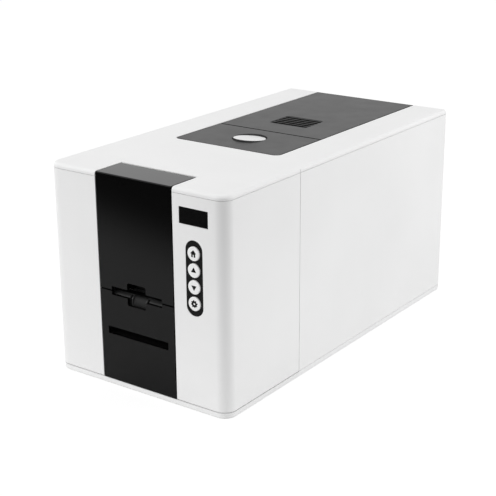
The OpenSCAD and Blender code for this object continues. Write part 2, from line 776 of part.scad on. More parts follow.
module lid_panel() color("#6e6e6e") {
    y_a = lid_y + lid_gap/2;
    x = deck_w/2;
    difference() {
        union() {
            x_extrude(-x, x) {
                translate([y_a + 0.6, ledge_z]) square([lid_axis_y - y_a - 0.6, lid_t]);
                translate([y_a, ledge_z]) square([1, lid_t - 0.6]);
                translate([y_a + 0.6, body_h - 0.6]) circle(0.6);
                translate([lid_axis_y, lid_axis_z]) circle(lid_bead_r);
            }
            both_blocks(rib_x - rib_t, rib_x, y_a + 8, lid_axis_y - 10, ledge_z - rib_h, ledge_z + eps);
            for (y = [y_a + 8, lid_axis_y - 10 - rib_t])
                wide_block(2*rib_x, y, y + rib_t, ledge_z - rib_h, ledge_z + eps);
            // Strike, braced by a gusset
            wide_block(latch_tip_w + 8, strike_y, strike_y + 2.5, latch_z - 1, ledge_z + eps);
            both_blocks(latch_tip_w/2 + 1, latch_tip_w/2 + 3, strike_y + 2, y_a + 8 + eps,
                        ledge_z - rib_h, ledge_z + eps);
        }
        translate([0, 0, ledge_z + grille_step]) linear_extrude(lid_t) vent_outline(fit);
        translate([0, 0, ledge_z - 1]) linear_extrude(lid_t) vent_outline(-1.5);
        for (s = [0, 1]) mirror([s, 0, 0])
            x_rod(lid_axis_y, lid_axis_z, lid_pin_r + run, x - lid_pin_l - 0.5, x + 1);
    }
}

module vent_grille() color("#5a5a5a") {
    translate([0, 0, ledge_z + grille_step]) linear_extrude(lid_t - grille_step - grille_drop) difference() {
        vent_outline(0);
        for (i = [0:slits - 1]) translate([0, vent_y + (i - (slits - 1)/2)*slit_pitch])
            round_rect(vent_w - 8, slit_w, slit_w/2 - 0.05);
    }
}

// Cooling fan under the grille
fan_w = 40;
fan_t = 10;
fan_bore = 18.6;
fan_z = ledge_z - fan_t;

module fan_frame() color("#2a2a2a") translate([0, vent_y, fan_z]) {
    difference() {
        linear_extrude(fan_t) round_rect(fan_w, fan_w, 3);
        translate([0, 0, 1.5]) cylinder(r = fan_bore, h = fan_t);
        difference() {
            translate([0, 0, -1]) cylinder(r = fan_bore, h = 4);
            translate([0, 0, -2]) cylinder(r = 9, h = 6);
            for (a = [30, 150, 270]) rotate([0, 0, a]) translate([0, -1.5, -2]) cube([fan_bore + 1, 3, 6]);
        }
        for (sx = [-1, 1], sy = [-1, 1]) translate([sx*16, sy*16, -1]) cylinder(r = 1.6, h = fan_t + 2);
    }
    translate([0, 0, 1.5 - eps]) cylinder(r = 1.5, h = 4);
}

module fan_rotor() color("#3a3a3a") translate([0, vent_y, fan_z]) difference() {
    union() {
        translate([0, 0, 1.5 + seat]) cylinder(r = 9.5, h = 7);
        for (i = [0:6]) rotate([0, 0, i*360/7]) translate([13.2, 0, 5.3]) rotate([38, 0, 0])
            cube([8.6, 0.9, 7], center = true);
    }
    cylinder(r = 1.5 + run, h = 6);
}

// Print head carrier, hung from the lid
head_in = 66;
leg_t = 1.5;
head_l = 18;
head_z = card_z + 1.7;
sink_z = head_z + 8.3;
sink_h = 43;
sink_top = sink_z + sink_h;

module head_bracket() color("silver") {
    x = head_in/2;
    difference() {
        both_blocks(x, x + leg_t, platen_y - head_l/2, platen_y + head_l/2, sink_z - 1, ledge_z);
        for (k = [0.16, 0.52], z = [sink_top + k*(ledge_z - sink_top)]) translate([-x - 5, platen_y, z]) rotate([0, 90, 0])
            cylinder(r = 5, h = head_in + 10);
        for (z = [sink_z + 6, sink_z + 14]) translate([-x - 5, platen_y, z]) rotate([0, 90, 0])
            cylinder(r = 1.6, h = head_in + 10);
    }
    both_blocks(x + leg_t - eps, x + leg_t + 8, platen_y - head_l/2, platen_y + head_l/2, ledge_z - leg_t, ledge_z);
}

module heat_sink() color("silver") {
    x = head_in/2;
    wide_block(head_in, platen_y - 8, platen_y + 8, sink_z, sink_z + 7);
    fins = 12;
    for (i = [0:fins - 1]) translate([-x + i*(head_in - 1.6)/(fins - 1), platen_y - 8, sink_z + 7 - eps])
        cube([1.6, 16, sink_top - sink_z - 7]);
}

module print_head() color("#c9c0a8") {
    x_extrude(-head_in/2 + 2, head_in/2 - 2) translate([platen_y, 0])
        polygon([[-2, head_z], [2, head_z], [9, head_z + 6.3], [9, sink_z], [-9, sink_z], [-9, head_z + 6.3]]);
    // Cable socket behind the head
    block([-16, platen_y + 9 - eps, head_z + 5], [16, platen_y + 12, sink_z]);
}

// Card guide behind the slot: a funnel between the front panel and the hopper
guide_a = front_y + panel_t + 0.4;
guide_b = front_y + 8.6;
floor_top = card_z - 0.6;
mouth = 3.2;
groove_w = 2;
groove_wall = 1.5;
recess_w = notch_w + 2*seat - 2*groove_w - 2*groove_wall;

module slot_guide() color("#3c3c3c") {
    lower = [for (i = [0:6]) let (a = 90*i/6)
        [guide_b - (guide_b - guide_a)*cos(a), floor_top - mouth*(1 - sin(a))]];
    upper = [for (i = [0:6]) let (a = 90*i/6)
        [guide_b - (guide_b - guide_a)*cos(a), floor_top + 4.4 + mouth*(1 - sin(a))]];
    x = slot_w/2 + 3;
    z_a = split_z - notch_h/2 - seat;
    z_b = split_z + notch_h/2 + seat;
    difference() {
        union() {
            x_extrude(-x, x) polygon(concat([[guide_b, z_a - 2.5], [guide_a, z_a - 2.5]], lower));
            x_extrude(-x, x) polygon(concat([[guide_b, z_b + 2.5], [guide_a, z_b + 2.5]], upper));
            both_blocks(x, x + 3, guide_a, guide_b, z_a - 2.5, z_b + 2.5);
        }
        // Recess for a finger behind both notches, with a groove along each side
        wide_block(recess_w, guide_a - 1, guide_b + 1, z_a, z_b);
        both_blocks(recess_w/2 + groove_wall, recess_w/2 + groove_wall + groove_w, guide_a - 1, guide_a + 4, z_a, z_b);
    }
}

// Card hopper behind the door
hopper_w = card_w + 1.2;
hopper_t = 1.6;
hopper_a = guide_b;
hopper_b = hopper_a + card_l - 0.4;
hopper_top = cover_z - 5;
ear_y = hopper_a + 40;
ear_l = 5;
weight_z = card_z + seat;

module card_hopper() color("#2e2e2e") {
    x = hopper_w/2;
    difference() {
        union() {
            both_blocks(x, x + hopper_t, hopper_a, hopper_b, floor_top - 2, hopper_top);
            wide_block(hopper_w + 2*hopper_t, hopper_b - eps, hopper_b + hopper_t, floor_top + 4.4, hopper_top);
            wide_block(hopper_w + 2*hopper_t, hopper_a, hopper_b + hopper_t, floor_top - 2, floor_top);
            // Flange that closes the view beside the hopper
            both_blocks(x + hopper_t - eps, door_rib_x - 2*seat, hopper_a, hopper_a + hopper_t, floor_top + 16, hopper_top);
            // Webs to the chassis plates
            both_blocks(x + hopper_t - eps, plate_in, hopper_b - 14, hopper_b - 12, floor_top + 10, plate_top - 6);
        }
        // Slots of the card weight's ears
        both_blocks(x - 1, x + hopper_t + 1, ear_y - ear_l/2 - seat, ear_y + ear_l/2 + seat,
                    weight_z - 0.5, hopper_top - 4);
        // Window of the pick roller
        wide_block(rubber_l + 2, pick_y - roller_r - 1, pick_y + roller_r + 1, 0, floor_top + 1);
    }
}

module card_weight() color("#4a4a4a") {
    x = hopper_w/2 - 0.5;
    wide_block(2*x, hopper_a + 4, hopper_b - 4, weight_z, weight_z + 3);
    both_blocks(x - eps, x + hopper_t + 2, ear_y - ear_l/2, ear_y + ear_l/2, weight_z, weight_z + 3);
    wide_block(24, hopper_a + 5, hopper_a + 8, weight_z + 3 - eps, weight_z + 11);
    both_blocks(14, 16, hopper_a + 12, hopper_b - 10, weight_z + 3 - eps, weight_z + 6);
}

// Lower and upper edge of the card rails
rail_a = card_z - 3;
rail_b = pinch_z - shaft_r - 0.6;

// Output chute from the gate down to the lower slot
chute_flat = front_y + 39;
chute_knee = clean_y - 8;
chute_end = platen_y - 18;
chute_z0 = out_z - out_h/2;
chute_z1 = roll_z - roller_r - 7;
chute_z2 = rail_a - 0.4;
chute_t = 1.6;
chute_slope = (chute_z1 - chute_z0)/(chute_knee - chute_flat);
chute_bend = (chute_z2 - chute_z1 - chute_slope*(chute_end - chute_knee))/(chute_end - chute_knee)^2;
function chute_at(y) = y < chute_flat ? chute_z0
    : y < chute_knee ? chute_z0 + chute_slope*(y - chute_flat)
    : chute_z1 + chute_slope*(y - chute_knee) + chute_bend*(y - chute_knee)^2;
chute_front = front_y + panel_t + 0.2;
chute_ys = concat([chute_front, chute_flat], [for (i = [0:10]) chute_knee + i*(chute_end - chute_knee)/10]);
wall_ys = [for (y = chute_ys) if (y < clean_y + 20) y];

module output_chute() color("#4a4a4a") {
    x = out_w/2;
    x_extrude(-x - 1.5, x + 1.5) polygon(concat(
        [for (y = chute_ys) [y, chute_at(y)]],
        [for (i = [len(chute_ys) - 1:-1:0]) [chute_ys[i], chute_at(chute_ys[i]) - chute_t]]));
    for (s = [0, 1]) mirror([s, 0, 0]) x_extrude(x, x + 1.5) polygon(concat(
        [for (y = wall_ys) [y, chute_at(y) + out_h]],
        [for (i = [len(wall_ys) - 1:-1:0]) [wall_ys[i], chute_at(wall_ys[i]) - chute_t]]));
    for (y = [pick_y - 20, chute_knee - 10])
        wide_block(2*plate_in, y, y + 2, chute_at(y) - 8, chute_at(y) - chute_t + eps);
}

// Rails that guide the card's edges on both sides of the print head
module guide_rail(y_a, y_b, tabs) {
    x = card_w/2 + 0.5;
    for (s = [0, 1]) mirror([s, 0, 0]) {
        difference() {
            block([x - 1.7, y_a, rail_a], [x + 3.5, y_b, rail_b]);
            block([x - 2, y_a - 1, card_z - 0.4], [x, y_b + 1, card_z + 1.2]);
        }
        for (y = tabs) block([x + 3.5 - eps, y, rail_a], [plate_in, y + 8, rail_a + 1.5]);
    }
}

module card_guides() color("#5a5a5a") {
    guide_rail(hopper_b + hopper_t + 2, platen_y - 15, [feed_y + 20, clean_y + 14]);
    guide_rail(platen_y + 15, rear_roll_y + 18, [platen_y + 24, rear_roll_y + 8]);
}

gate_y = chute_end - 14;
gate_z = card_z - 5;
gate_r = 1.5;
module diverter_gate() color("#8a8a8a") {
    x_rod(gate_y, gate_z, gate_r, -plate_x - 1, plate_x + 1);
    x_extrude(-card_w/2 + 2, card_w/2 - 2) translate([gate_y, gate_z]) {
        circle(2.4);
        polygon([[0, 2.4], [12.6, 4.1], [13.2, 3.5], [1, -2.1], [0, 0]]);
    }
}

// Chassis: a steel floor and two side plates that carry every shaft
plate_a = front_y + jamb_l + 2;
plate_b = rear_y - 14;
lower_shafts = [pick_y, feed_y, clean_y, platen_y, rear_roll_y];
upper_shafts = [[feed_y, pinch_z], [clean_y, clean_z], [rear_roll_y, pinch_z]];
motor_y = lid_y + 2;
motor_z = 42;
motor_w = 42;
motor_l = 34;
motor_boss_r = 11;
pinion_y = takeup_y - gear_c;
ribbon_motor_r = 13;
ribbon_boss_r = 4;
pulley_x = plate_x + 3;

module chassis_floor() color("silver") difference() {
    wide_block(2*plate_in, plate_a, plate_b, floor_z, floor_z + plate_t);
    at_chassis_screws() cylinder(r = 1.7, h = 30);
    for (x = [-20, 20], k = [-0.317, -0.132, 0.291]) translate([x, k*body_d, 0])
        linear_extrude(30) round_rect(30, 26, 6);
}

// Rounded rear upper corner of the side plates, and the scoop above it
nose_r = 24;
nose_z = plate_top - 60;
scoop_r = 44;

module plate_profile() {
    difference() {
        union() {
            translate([plate_a, floor_z]) square([plate_b - plate_a - nose_r, plate_top - floor_z]);
            translate([plate_b - nose_r, floor_z]) square([nose_r, nose_z - floor_z]);
            translate([plate_b - nose_r, nose_z]) circle(nose_r);
        }
        for (y = lower_shafts) translate([y, roll_z]) circle(bush_r + 0.02);
        for (p = upper_shafts) translate(p) circle(bush_r + 0.02);
        translate([gate_y, gate_z]) circle(gate_r + run);
        translate([plate_b - nose_r + scoop_r, plate_top]) circle(scoop_r);
        for (k = [-0.37, -0.265, -0.159, 0.212, 0.317]) translate([k*body_d, floor_z + 27.5]) round_rect(30, 24, 8);
        for (k = [-0.317, -0.212, -0.106]) translate([k*body_d, plate_top - 26]) round_rect(30, 26, 8);
        children();
    }
}

module side_plate() {
    x_extrude(plate_in, plate_x) plate_profile() children();
    // Bent flange on the chassis floor
    block([plate_in - 10, plate_a, floor_z + plate_t], [plate_in + eps, plate_b, floor_z + 2*plate_t]);
}

module right_plate() color("silver") difference() {
    side_plate() translate([motor_y, motor_z]) circle(motor_boss_r + 0.02);
    at_chassis_screws() cylinder(r = 1.7, h = 30);
}

module left_plate() color("silver") difference() {
    mirror([1, 0, 0]) side_plate() {
        translate([pinion_y, takeup_z]) circle(ribbon_boss_r + 0.02);
        translate([takeup_y, takeup_z]) circle(bush_r + 0.02);
    }
    at_chassis_screws() cylinder(r = 1.7, h = 30);
}

// Flanged bush in the left (side = -1) or right (side = 1) plate
module bush(side, y, z) {
    rotate([0, 0, side < 0 ? 180 : 0]) difference() {
        union() {
            x_rod(side*y, z, bush_r, plate_in - eps, plate_x + 0.8);
            x_rod(side*y, z, bush_r + 1.4, plate_in - 1.2, plate_in);
        }
        x_rod(side*y, z, shaft_r + run, plate_in - 3, plate_x + 3);
    }
}

module shaft_bushes() color("peru") {
    for (side = [-1, 1]) {
        for (y = lower_shafts) bush(side, y, roll_z);
        for (p = upper_shafts) bush(side, p[0], p[1]);
    }
    bush(-1, takeup_y, takeup_z);
}

// Belt pulley with teeth between two flanges, beside the right plate
pulley_flange = 0.6;
pulley_w = belt_w + 2;
module pulley(y, z) translate([pulley_x, y, z]) rotate([90, 0, 90]) {
    linear_extrude(pulley_w) polygon([
        for (i = [0:pulley_teeth - 1], p = [[-0.34, -0.7], [-0.2, 0], [0.2, 0], [0.34, -0.7]])
            (pulley_r + p[1])*[cos((i + p[0])*360/pulley_teeth), sin((i + p[0])*360/pulley_teeth)]]);
    for (x = [0, pulley_w - pulley_flange]) translate([0, 0, x]) cylinder(r = pulley_r + 1.2, h = pulley_flange);
}

// Rubber roller on a steel shaft
module roller(y, z, r, l, x_b) {
    x_rod(y, z, shaft_r, -plate_x - 2, x_b);
    x_rod(y, z, r, -l/2, l/2);
}

module driven_roller(y, l) {
    roller(y, roll_z, roller_r, l, pulley_x + 1);
    pulley(y, roll_z);
}

module pick_roller() color("dimgray") driven_roller(pick_y, rubber_l - 8);
module feed_roller() color("dimgray") driven_roller(feed_y, rubber_l);
module support_roller() color("dimgray") driven_roller(clean_y, rubber_l);
module platen_roller() color("dimgray") driven_roller(platen_y, ribbon_w - 4);
module rear_roller() color("dimgray") driven_roller(rear_roll_y, rubber_l);
module pinch_roller() color("dimgray") roller(feed_y, pinch_z, pinch_r, rubber_l, plate_x + 2);
module cleaning_roller() color("skyblue") roller(clean_y, clean_z, roller_r, rubber_l, plate_x + 2);
module rear_pinch() color("dimgray") roller(rear_roll_y, pinch_z, pinch_r, rubber_l, plate_x + 2);

// Stepper motor inside the right plate, its pulley outside
module drive_motor() color("#303030") difference() {
    union() {
        translate([plate_in - motor_l, motor_y, motor_z]) rotate([0, 90, 0])
            linear_extrude(motor_l) intersection() {
                square(motor_w, center = true);
                rotate(45) square(motor_w*1.27, center = true);
            }
        x_rod(motor_y, motor_z, motor_boss_r, plate_in - eps, plate_x + 0.5);
    }
    x_rod(motor_y, motor_z, shaft_r + run, plate_in - 12, plate_x + 1);
}

module drive_pulley() color("silver") {
    x_rod(motor_y, motor_z, shaft_r, plate_in - 11, pulley_x + 1);
    pulley(motor_y, motor_z);
}

// Belt loop round the front, rear and motor pulleys, as a polygon with short steps round each pulley
belt_stops = [[pick_y, roll_z], [motor_y, motor_z], [rear_roll_y, roll_z]];
belt_steps = 16;
module loop(r) {
    turn = [for (i = [0:2]) let (d = belt_stops[(i + 1)%3] - belt_stops[i]) atan2(-d[0], d[1])];
    polygon([for (i = [0:2], k = [0:belt_steps])
        let (from = turn[(i + 2)%3], sweep = (turn[i] - from + 720)%360, a = from + sweep*k/belt_steps)
        belt_stops[i] + r*[cos(a), sin(a)]]);
}

module timing_belt() color("#202020")
    x_extrude(pulley_x + 1, pulley_x + 1 + belt_w) difference() {
        loop(pulley_r + seat + belt_t);
        loop(pulley_r + seat);
    }

// Spur gear outline with straight-sided teeth
function gear_points(n, m) = [for (i = [0:n - 1], p = [[-0.32, -1.25], [-0.13, 0.85], [0.13, 0.85], [0.32, -1.25]])
    let (a = (i + p[0])*360/n, r = m*(n/2 + p[1])) [r*cos(a), r*sin(a)]];

gear_x = -52;
gear_w = 6;
hub_x = -40.2;
journal_r = 3;
spool_l = ribbon_w + 0.6;
frame_x = 37;
frame_t = 1.5;

// Core with its flanges and the journals that run in the cartridge frame
module spool(y, z, film_r, edge_r, x_left) {
    x_rod(y, z, film_r, -spool_l/2 - eps, spool_l/2 + eps);
    for (s = [0, 1]) mirror([s, 0, 0]) {
        x_rod(y, z, edge_r, spool_l/2, spool_l/2 + 1.6);
        x_rod(y, z, edge_r - 4, spool_l/2 + 1.6 - eps, spool_l/2 + 3);
    }
    x_rod(y, z, journal_r, x_left, frame_x + frame_t + 1.5);
}

module takeup_spool() color("#3a3a3a") spool(takeup_y, takeup_z, takeup_r, flange_r, hub_x - 4);
module supply_spool() color("#7a3f5a") spool(supply_y, supply_z, supply_r, supply_r + 2.5, -frame_x - frame_t - 1.5);

// Gear, its shaft in the left plate and the socket for the spool's journal
module takeup_gear() color("ivory") difference() {
    union() {
        translate([gear_x, takeup_y, takeup_z]) rotate([90, 0, 90]) linear_extrude(gear_w)
            polygon(gear_points(gear_teeth, gear_m));
        x_rod(takeup_y, takeup_z, journal_r + 2.5, gear_x + gear_w - eps, hub_x);
        x_rod(takeup_y, takeup_z, shaft_r, -plate_x - 2, gear_x + eps);
    }
    x_rod(takeup_y, takeup_z, journal_r + 0.02, hub_x - 5, hub_x + 1);
    for (a = [0:60:300]) translate([gear_x, takeup_y, takeup_z]) rotate([a, 0, 0])
        translate([-1, 0, gear_m*gear_teeth/2 - 6]) rotate([0, 90, 0]) cylinder(r = 3, h = gear_w + 2);
}

module ribbon_pinion() color("goldenrod") {
    translate([gear_x, pinion_y, takeup_z]) rotate([90, 0, 90]) linear_extrude(gear_w)
        rotate(180/pinion_teeth) polygon(gear_points(pinion_teeth, gear_m));
    x_rod(pinion_y, takeup_z, 1.5, -plate_x - 8, gear_x + eps);
}

module ribbon_motor() color("#303030") difference() {
    union() {
        x_rod(pinion_y, takeup_z, ribbon_motor_r, -plate_x - 24, -plate_x);
        x_rod(pinion_y, takeup_z, ribbon_boss_r, -plate_x - eps, -plate_in + 1);
    }
    x_rod(pinion_y, takeup_z, 1.5 + run, -plate_x - 9, -plate_in + 2);
}

bar_r = 2.5;
bar_a = [takeup_y - 12, takeup_z + 19];
bar_b = [supply_y + supply_r + 8, supply_z];
module cartridge_frame() color("#d8d8d8") {
    for (s = [0, 1]) mirror([s, 0, 0]) difference() {
        x_extrude(frame_x, frame_x + frame_t) {
            translate([takeup_y, takeup_z]) circle(9);
            translate([supply_y, supply_z]) circle(12);
            polygon([[takeup_y, takeup_z - 7], [supply_y, supply_z - 10],
                     [supply_y, supply_z + 10], [takeup_y, takeup_z + 9]]);
            polygon([bar_a + [0, 5], bar_a - [5, 0], [takeup_y - 6, takeup_z - 4], [takeup_y + 9, takeup_z]]);
            translate(bar_a) circle(5);
            polygon([[supply_y, supply_z - 10], bar_b - [0, 5], bar_b + [0, 5], [supply_y, supply_z + 10]]);
            translate(bar_b) circle(5);
        }
        for (p = [[takeup_y, takeup_z], [supply_y, supply_z]])
            x_rod(p[0], p[1], journal_r + run, 0, plate_in);
    }
    for (p = [bar_a, bar_b]) x_rod(p[0], p[1], bar_r, -plate_in, plate_in);
}

// Ribbon film from the supply spool under the head line to the take-up spool
film_t = 0.4;
film_z = card_z + 1.1;
film_flat = 2;
module film_run(from, to, r, side) {
    d = to - from;
    a = atan2(d[1], d[0]) - side*asin(r/norm(d));
    translate(from) rotate(a) translate([0, -film_t/2]) square([sqrt(norm(d)^2 - r^2), film_t]);
}

module ribbon_film() color("#c8a0b0") x_extrude(-ribbon_w/2, ribbon_w/2) {
    front = [platen_y - film_flat, film_z];
    back = [platen_y + film_flat, film_z];
    film_run(front, [takeup_y, takeup_z], takeup_r + seat + film_t/2, -1);
    film_run(back, [supply_y, supply_z], supply_r + seat + film_t/2, 1);
    translate([platen_y - film_flat, film_z - film_t/2]) square([2*film_flat, film_t]);
    for (p = [front, back]) translate(p) circle(film_t/2);
}

// Electronics in the rear, and the connectors in the rear wall
board_side = -plate_x - 6;
main_l = 98;
main_h = 96;
main_y = plate_b - 11 - main_l;
main_z = floor_z + 13.5;
module main_board() color("seagreen") {
    difference() {
        block([board_side - board_t, main_y, main_z], [board_side, main_y + main_l, main_z + main_h]);
        for (y = [main_y + 4, main_y + main_l - 4], z = [main_z + 4, main_z + main_h - 4])
            translate([board_side - 5, y, z]) rotate([0, 90, 0]) cylinder(r = 1.6, h = 10);
    }
    for (y = [main_y + 4, main_y + main_l - 4], z = [main_z + 4, main_z + main_h - 26]) difference() {
        x_rod(y, z, 3, board_side - eps, -plate_x);
        x_rod(y, z, 1.6, board_side - 1, -plate_x + 1);
    }
    for (p = [[18, 22, 16, 3], [52, 38, 22, 2], [24, 66, 26, 4], [70, 70, 14, 8]])
        translate([board_side - board_t - p[3], main_y + p[0], main_z + p[1]]) cube([p[3] + eps, p[2], p[2]]);
}

inlet_l = 26;
psu_h = 34;
psu_w = 92;
psu_y = motor_y + motor_w/2 + 18.5;
psu_l = rear_y - inlet_l - 8 - psu_y;
module power_supply() color("silver") difference() {
    wide_block(psu_w, psu_y, psu_y + psu_l, floor_z + plate_t, floor_z + plate_t + psu_h);
    for (i = [0:7]) translate([0, psu_y + 13 + i*(psu_l - 26)/7, floor_z + plate_t + psu_h - 1.5])
        linear_extrude(3) round_rect(70, 4, 1.8);
}

inlet_x = -42;
rocker_x = -10;
usb_x = 22;
lan_x = 46;
inlet_w = 27.4;
inlet_h = 20;
usb_w = 12.2;
usb_h = 11;
lan_w = 16;
lan_h = 13.6;
module io_plate() color("#3c3c3c") {
    difference() {
        union() {
            wide_block(io_w, rear_y - wall, rear_y - 0.5, io_z - io_h/2, io_z + io_h/2);
            wide_block(io_w + 5, rear_y - wall - io_t, rear_y - wall, io_z - io_h/2 - 2, io_z + io_h/2 + 2.5);
        }
        y_extrude(rear_y - 10, rear_y + 1) {
            translate([inlet_x, io_z]) square([inlet_w + 2*fit, inlet_h + 2*fit], center = true);
            translate([rocker_x, io_z]) square([rocker_w + 4*fit, rocker_h + 2.6], center = true);
            translate([usb_x, io_z]) square([usb_w + 2*fit, usb_h + 2*fit], center = true);
            translate([lan_x, io_z]) square([lan_w + 2*fit, lan_h + 2*fit], center = true);
        }
    }
    // Ears and pin of the rocker switch
    translate([rocker_x, 0, 0]) {
        both_blocks(rocker_w/2 + 2*fit, rocker_w/2 + 1.8, rocker_pin_y - 3, rear_y - wall - io_t + eps,
                    io_z - 4, io_z + 4);
        x_rod(rocker_pin_y, io_z, rocker_pin_r, -rocker_w/2 - 1, rocker_w/2 + 1);
    }
}

// Appliance inlet with three flat pins
module power_inlet() color("#202020") translate([inlet_x, 0, 0]) difference() {
    union() {
        y_extrude(rear_y - inlet_l, rear_y - 0.4) translate([0, io_z]) square([inlet_w, inlet_h], center = true);
        y_extrude(rear_y - 0.5, rear_y) translate([0, io_z]) round_rect(inlet_w + 2.6, inlet_h + 2.6, 2);
    }
    difference() {
        y_extrude(rear_y - 17, rear_y + 1) translate([0, io_z])
            polygon([[-12, -8.5], [12, -8.5], [12, 4], [8, 8.5], [-8, 8.5], [-12, 4]]);
        for (p = [[-7, -1.5], [0, 1.5], [7, -1.5]])
            block([p[0] - 1, rear_y - 20, io_z + p[1] - 2], [p[0] + 1, rear_y - 4, io_z + p[1] + 2]);
    }
}

// Square data port and network port
module data_sockets() color("silver") {
    translate([usb_x, 0, 0]) {
        difference() {
            y_extrude(rear_y - 16, rear_y - 0.2) translate([0, io_z]) square([usb_w, usb_h], center = true);
            y_extrude(rear_y - 12, rear_y + 1) translate([0, io_z]) square([usb_w - 2.8, usb_h - 2.6], center = true);
        }
        y_extrude(rear_y - 14, rear_y - 3) translate([0, io_z]) square([5.6, 3.2], center = true);
    }
    translate([lan_x, 0, 0]) difference() {
        y_extrude(rear_y - 20, rear_y - 0.2) translate([0, io_z]) square([lan_w, lan_h], center = true);
        y_extrude(rear_y - 14, rear_y + 1) translate([0, io_z]) square([lan_w - 4, lan_h - 5.6], center = true);
    }
}

// Rocker switch: a cap that tips on a pin between two ears of the connector plate
rocker_tilt = 8;
rocker_h = 17.2;
rocker_w = 12.6;
rocker_pin_y = rear_y - 8.5;
rocker_pin_r = 1;
module power_rocker() color("#202020") translate([rocker_x, rocker_pin_y, io_z]) difference() {
    x_extrude(-rocker_w/2, rocker_w/2) rotate(rocker_tilt)
        polygon([[-2.5, -rocker_h/2], [7.2, -rocker_h/2], [5.9, 0], [7.2, rocker_h/2], [-2.5, rocker_h/2]]);
    x_rod(0, 0, rocker_pin_r + run, -rocker_w, rocker_w);
}

base_tray();
rubber_feet();
front_shell();
rear_shell();
top_cover();
button_panel();
lower_front_panel();
slot_guide();
display_window();
key_bezel();
front_board();
chassis_floor();
left_plate();
right_plate();
card_hopper();
output_chute();
card_guides();
shaft_bushes();
drive_motor();
timing_belt();
ribbon_motor();
cartridge_frame();
ribbon_film();
main_board();
power_supply();
io_plate();
power_inlet();
data_sockets();
hinge_pins();
case_screws();
lid_panel();
vent_grille();
fan_frame();
head_bracket();
print_head();
heat_sink();
fan_rotor();
front_door();
release_button();
latch_slide();
key_home();
key_up();
key_down();
key_menu();
power_rocker();
card_weight();
pick_roller();
feed_roller();
pinch_roller();
cleaning_roller();
support_roller();
platen_roller();
rear_roller();
rear_pinch();
drive_pulley();
takeup_spool();
takeup_gear();
supply_spool();
ribbon_pinion();
diverter_gate();
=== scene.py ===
"""Looks of a desktop ID card printer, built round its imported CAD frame.

Metres, +Z up, the front faces -Y, and the origin is under the middle of the base.
"""
import json
import math

import bpy
from mathutils import Matrix, Vector

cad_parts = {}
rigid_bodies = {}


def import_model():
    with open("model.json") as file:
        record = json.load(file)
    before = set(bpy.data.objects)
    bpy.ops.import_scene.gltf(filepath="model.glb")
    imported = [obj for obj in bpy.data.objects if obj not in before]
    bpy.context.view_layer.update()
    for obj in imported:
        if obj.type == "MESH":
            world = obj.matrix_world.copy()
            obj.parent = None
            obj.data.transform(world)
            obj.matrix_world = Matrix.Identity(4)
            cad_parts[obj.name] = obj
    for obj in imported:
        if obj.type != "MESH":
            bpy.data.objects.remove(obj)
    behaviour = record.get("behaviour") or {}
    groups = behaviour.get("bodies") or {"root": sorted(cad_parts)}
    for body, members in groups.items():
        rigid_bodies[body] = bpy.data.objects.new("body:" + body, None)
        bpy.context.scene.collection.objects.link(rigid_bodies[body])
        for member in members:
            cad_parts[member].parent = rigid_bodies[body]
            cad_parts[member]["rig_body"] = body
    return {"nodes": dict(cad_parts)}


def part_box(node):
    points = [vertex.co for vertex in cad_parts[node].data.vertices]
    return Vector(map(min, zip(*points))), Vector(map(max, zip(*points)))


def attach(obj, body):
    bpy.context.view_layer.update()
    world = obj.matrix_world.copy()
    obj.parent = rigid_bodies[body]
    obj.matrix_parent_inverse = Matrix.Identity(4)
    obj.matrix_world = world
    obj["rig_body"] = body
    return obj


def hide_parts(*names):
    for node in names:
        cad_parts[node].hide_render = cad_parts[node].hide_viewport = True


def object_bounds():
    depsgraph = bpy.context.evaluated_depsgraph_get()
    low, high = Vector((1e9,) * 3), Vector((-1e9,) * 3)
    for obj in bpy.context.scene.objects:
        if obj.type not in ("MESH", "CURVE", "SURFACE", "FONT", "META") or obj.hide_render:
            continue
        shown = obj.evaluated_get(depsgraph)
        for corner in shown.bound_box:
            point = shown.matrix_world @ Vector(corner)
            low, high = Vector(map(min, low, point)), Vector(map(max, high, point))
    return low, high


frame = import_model()
cad_box = [list(corner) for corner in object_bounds()]
scene = bpy.context.scene


# Camera. It stands to the right of the front and a little above, where the photograph was taken from.
# Its place, turn and lens come from a fit to the edges of the body in the photograph.
azimuth = math.radians(35.874)
elevation = math.radians(19.127)
roll = math.radians(-0.373)
camera_place = (0.6523, -0.9281, 0.4744)
back = Vector((
    math.sin(azimuth) * math.cos(elevation),
    -math.cos(azimuth) * math.cos(elevation),
    math.sin(elevation),
))
level = (-back).cross(Vector((0, 0, 1))).normalized()
right = level * math.cos(roll) + back.cross(level) * math.sin(roll)
camera_turn = Matrix((right, back.cross(right), back)).transposed().to_4x4()
camera_data = bpy.data.cameras.new("camera")
camera_data.sensor_width = 36
camera_data.lens = 89.5
camera = bpy.data.objects.new("camera", camera_data)
scene.collection.objects.link(camera)
camera.matrix_world = Matrix.Translation(camera_place) @ camera_turn
scene.camera = camera


# Studio. A pale table under an even white room, with one soft lamp from the left and one from the right.
# The table ends in front of the printer, and what lies beyond it is dark in the gloss of the front.


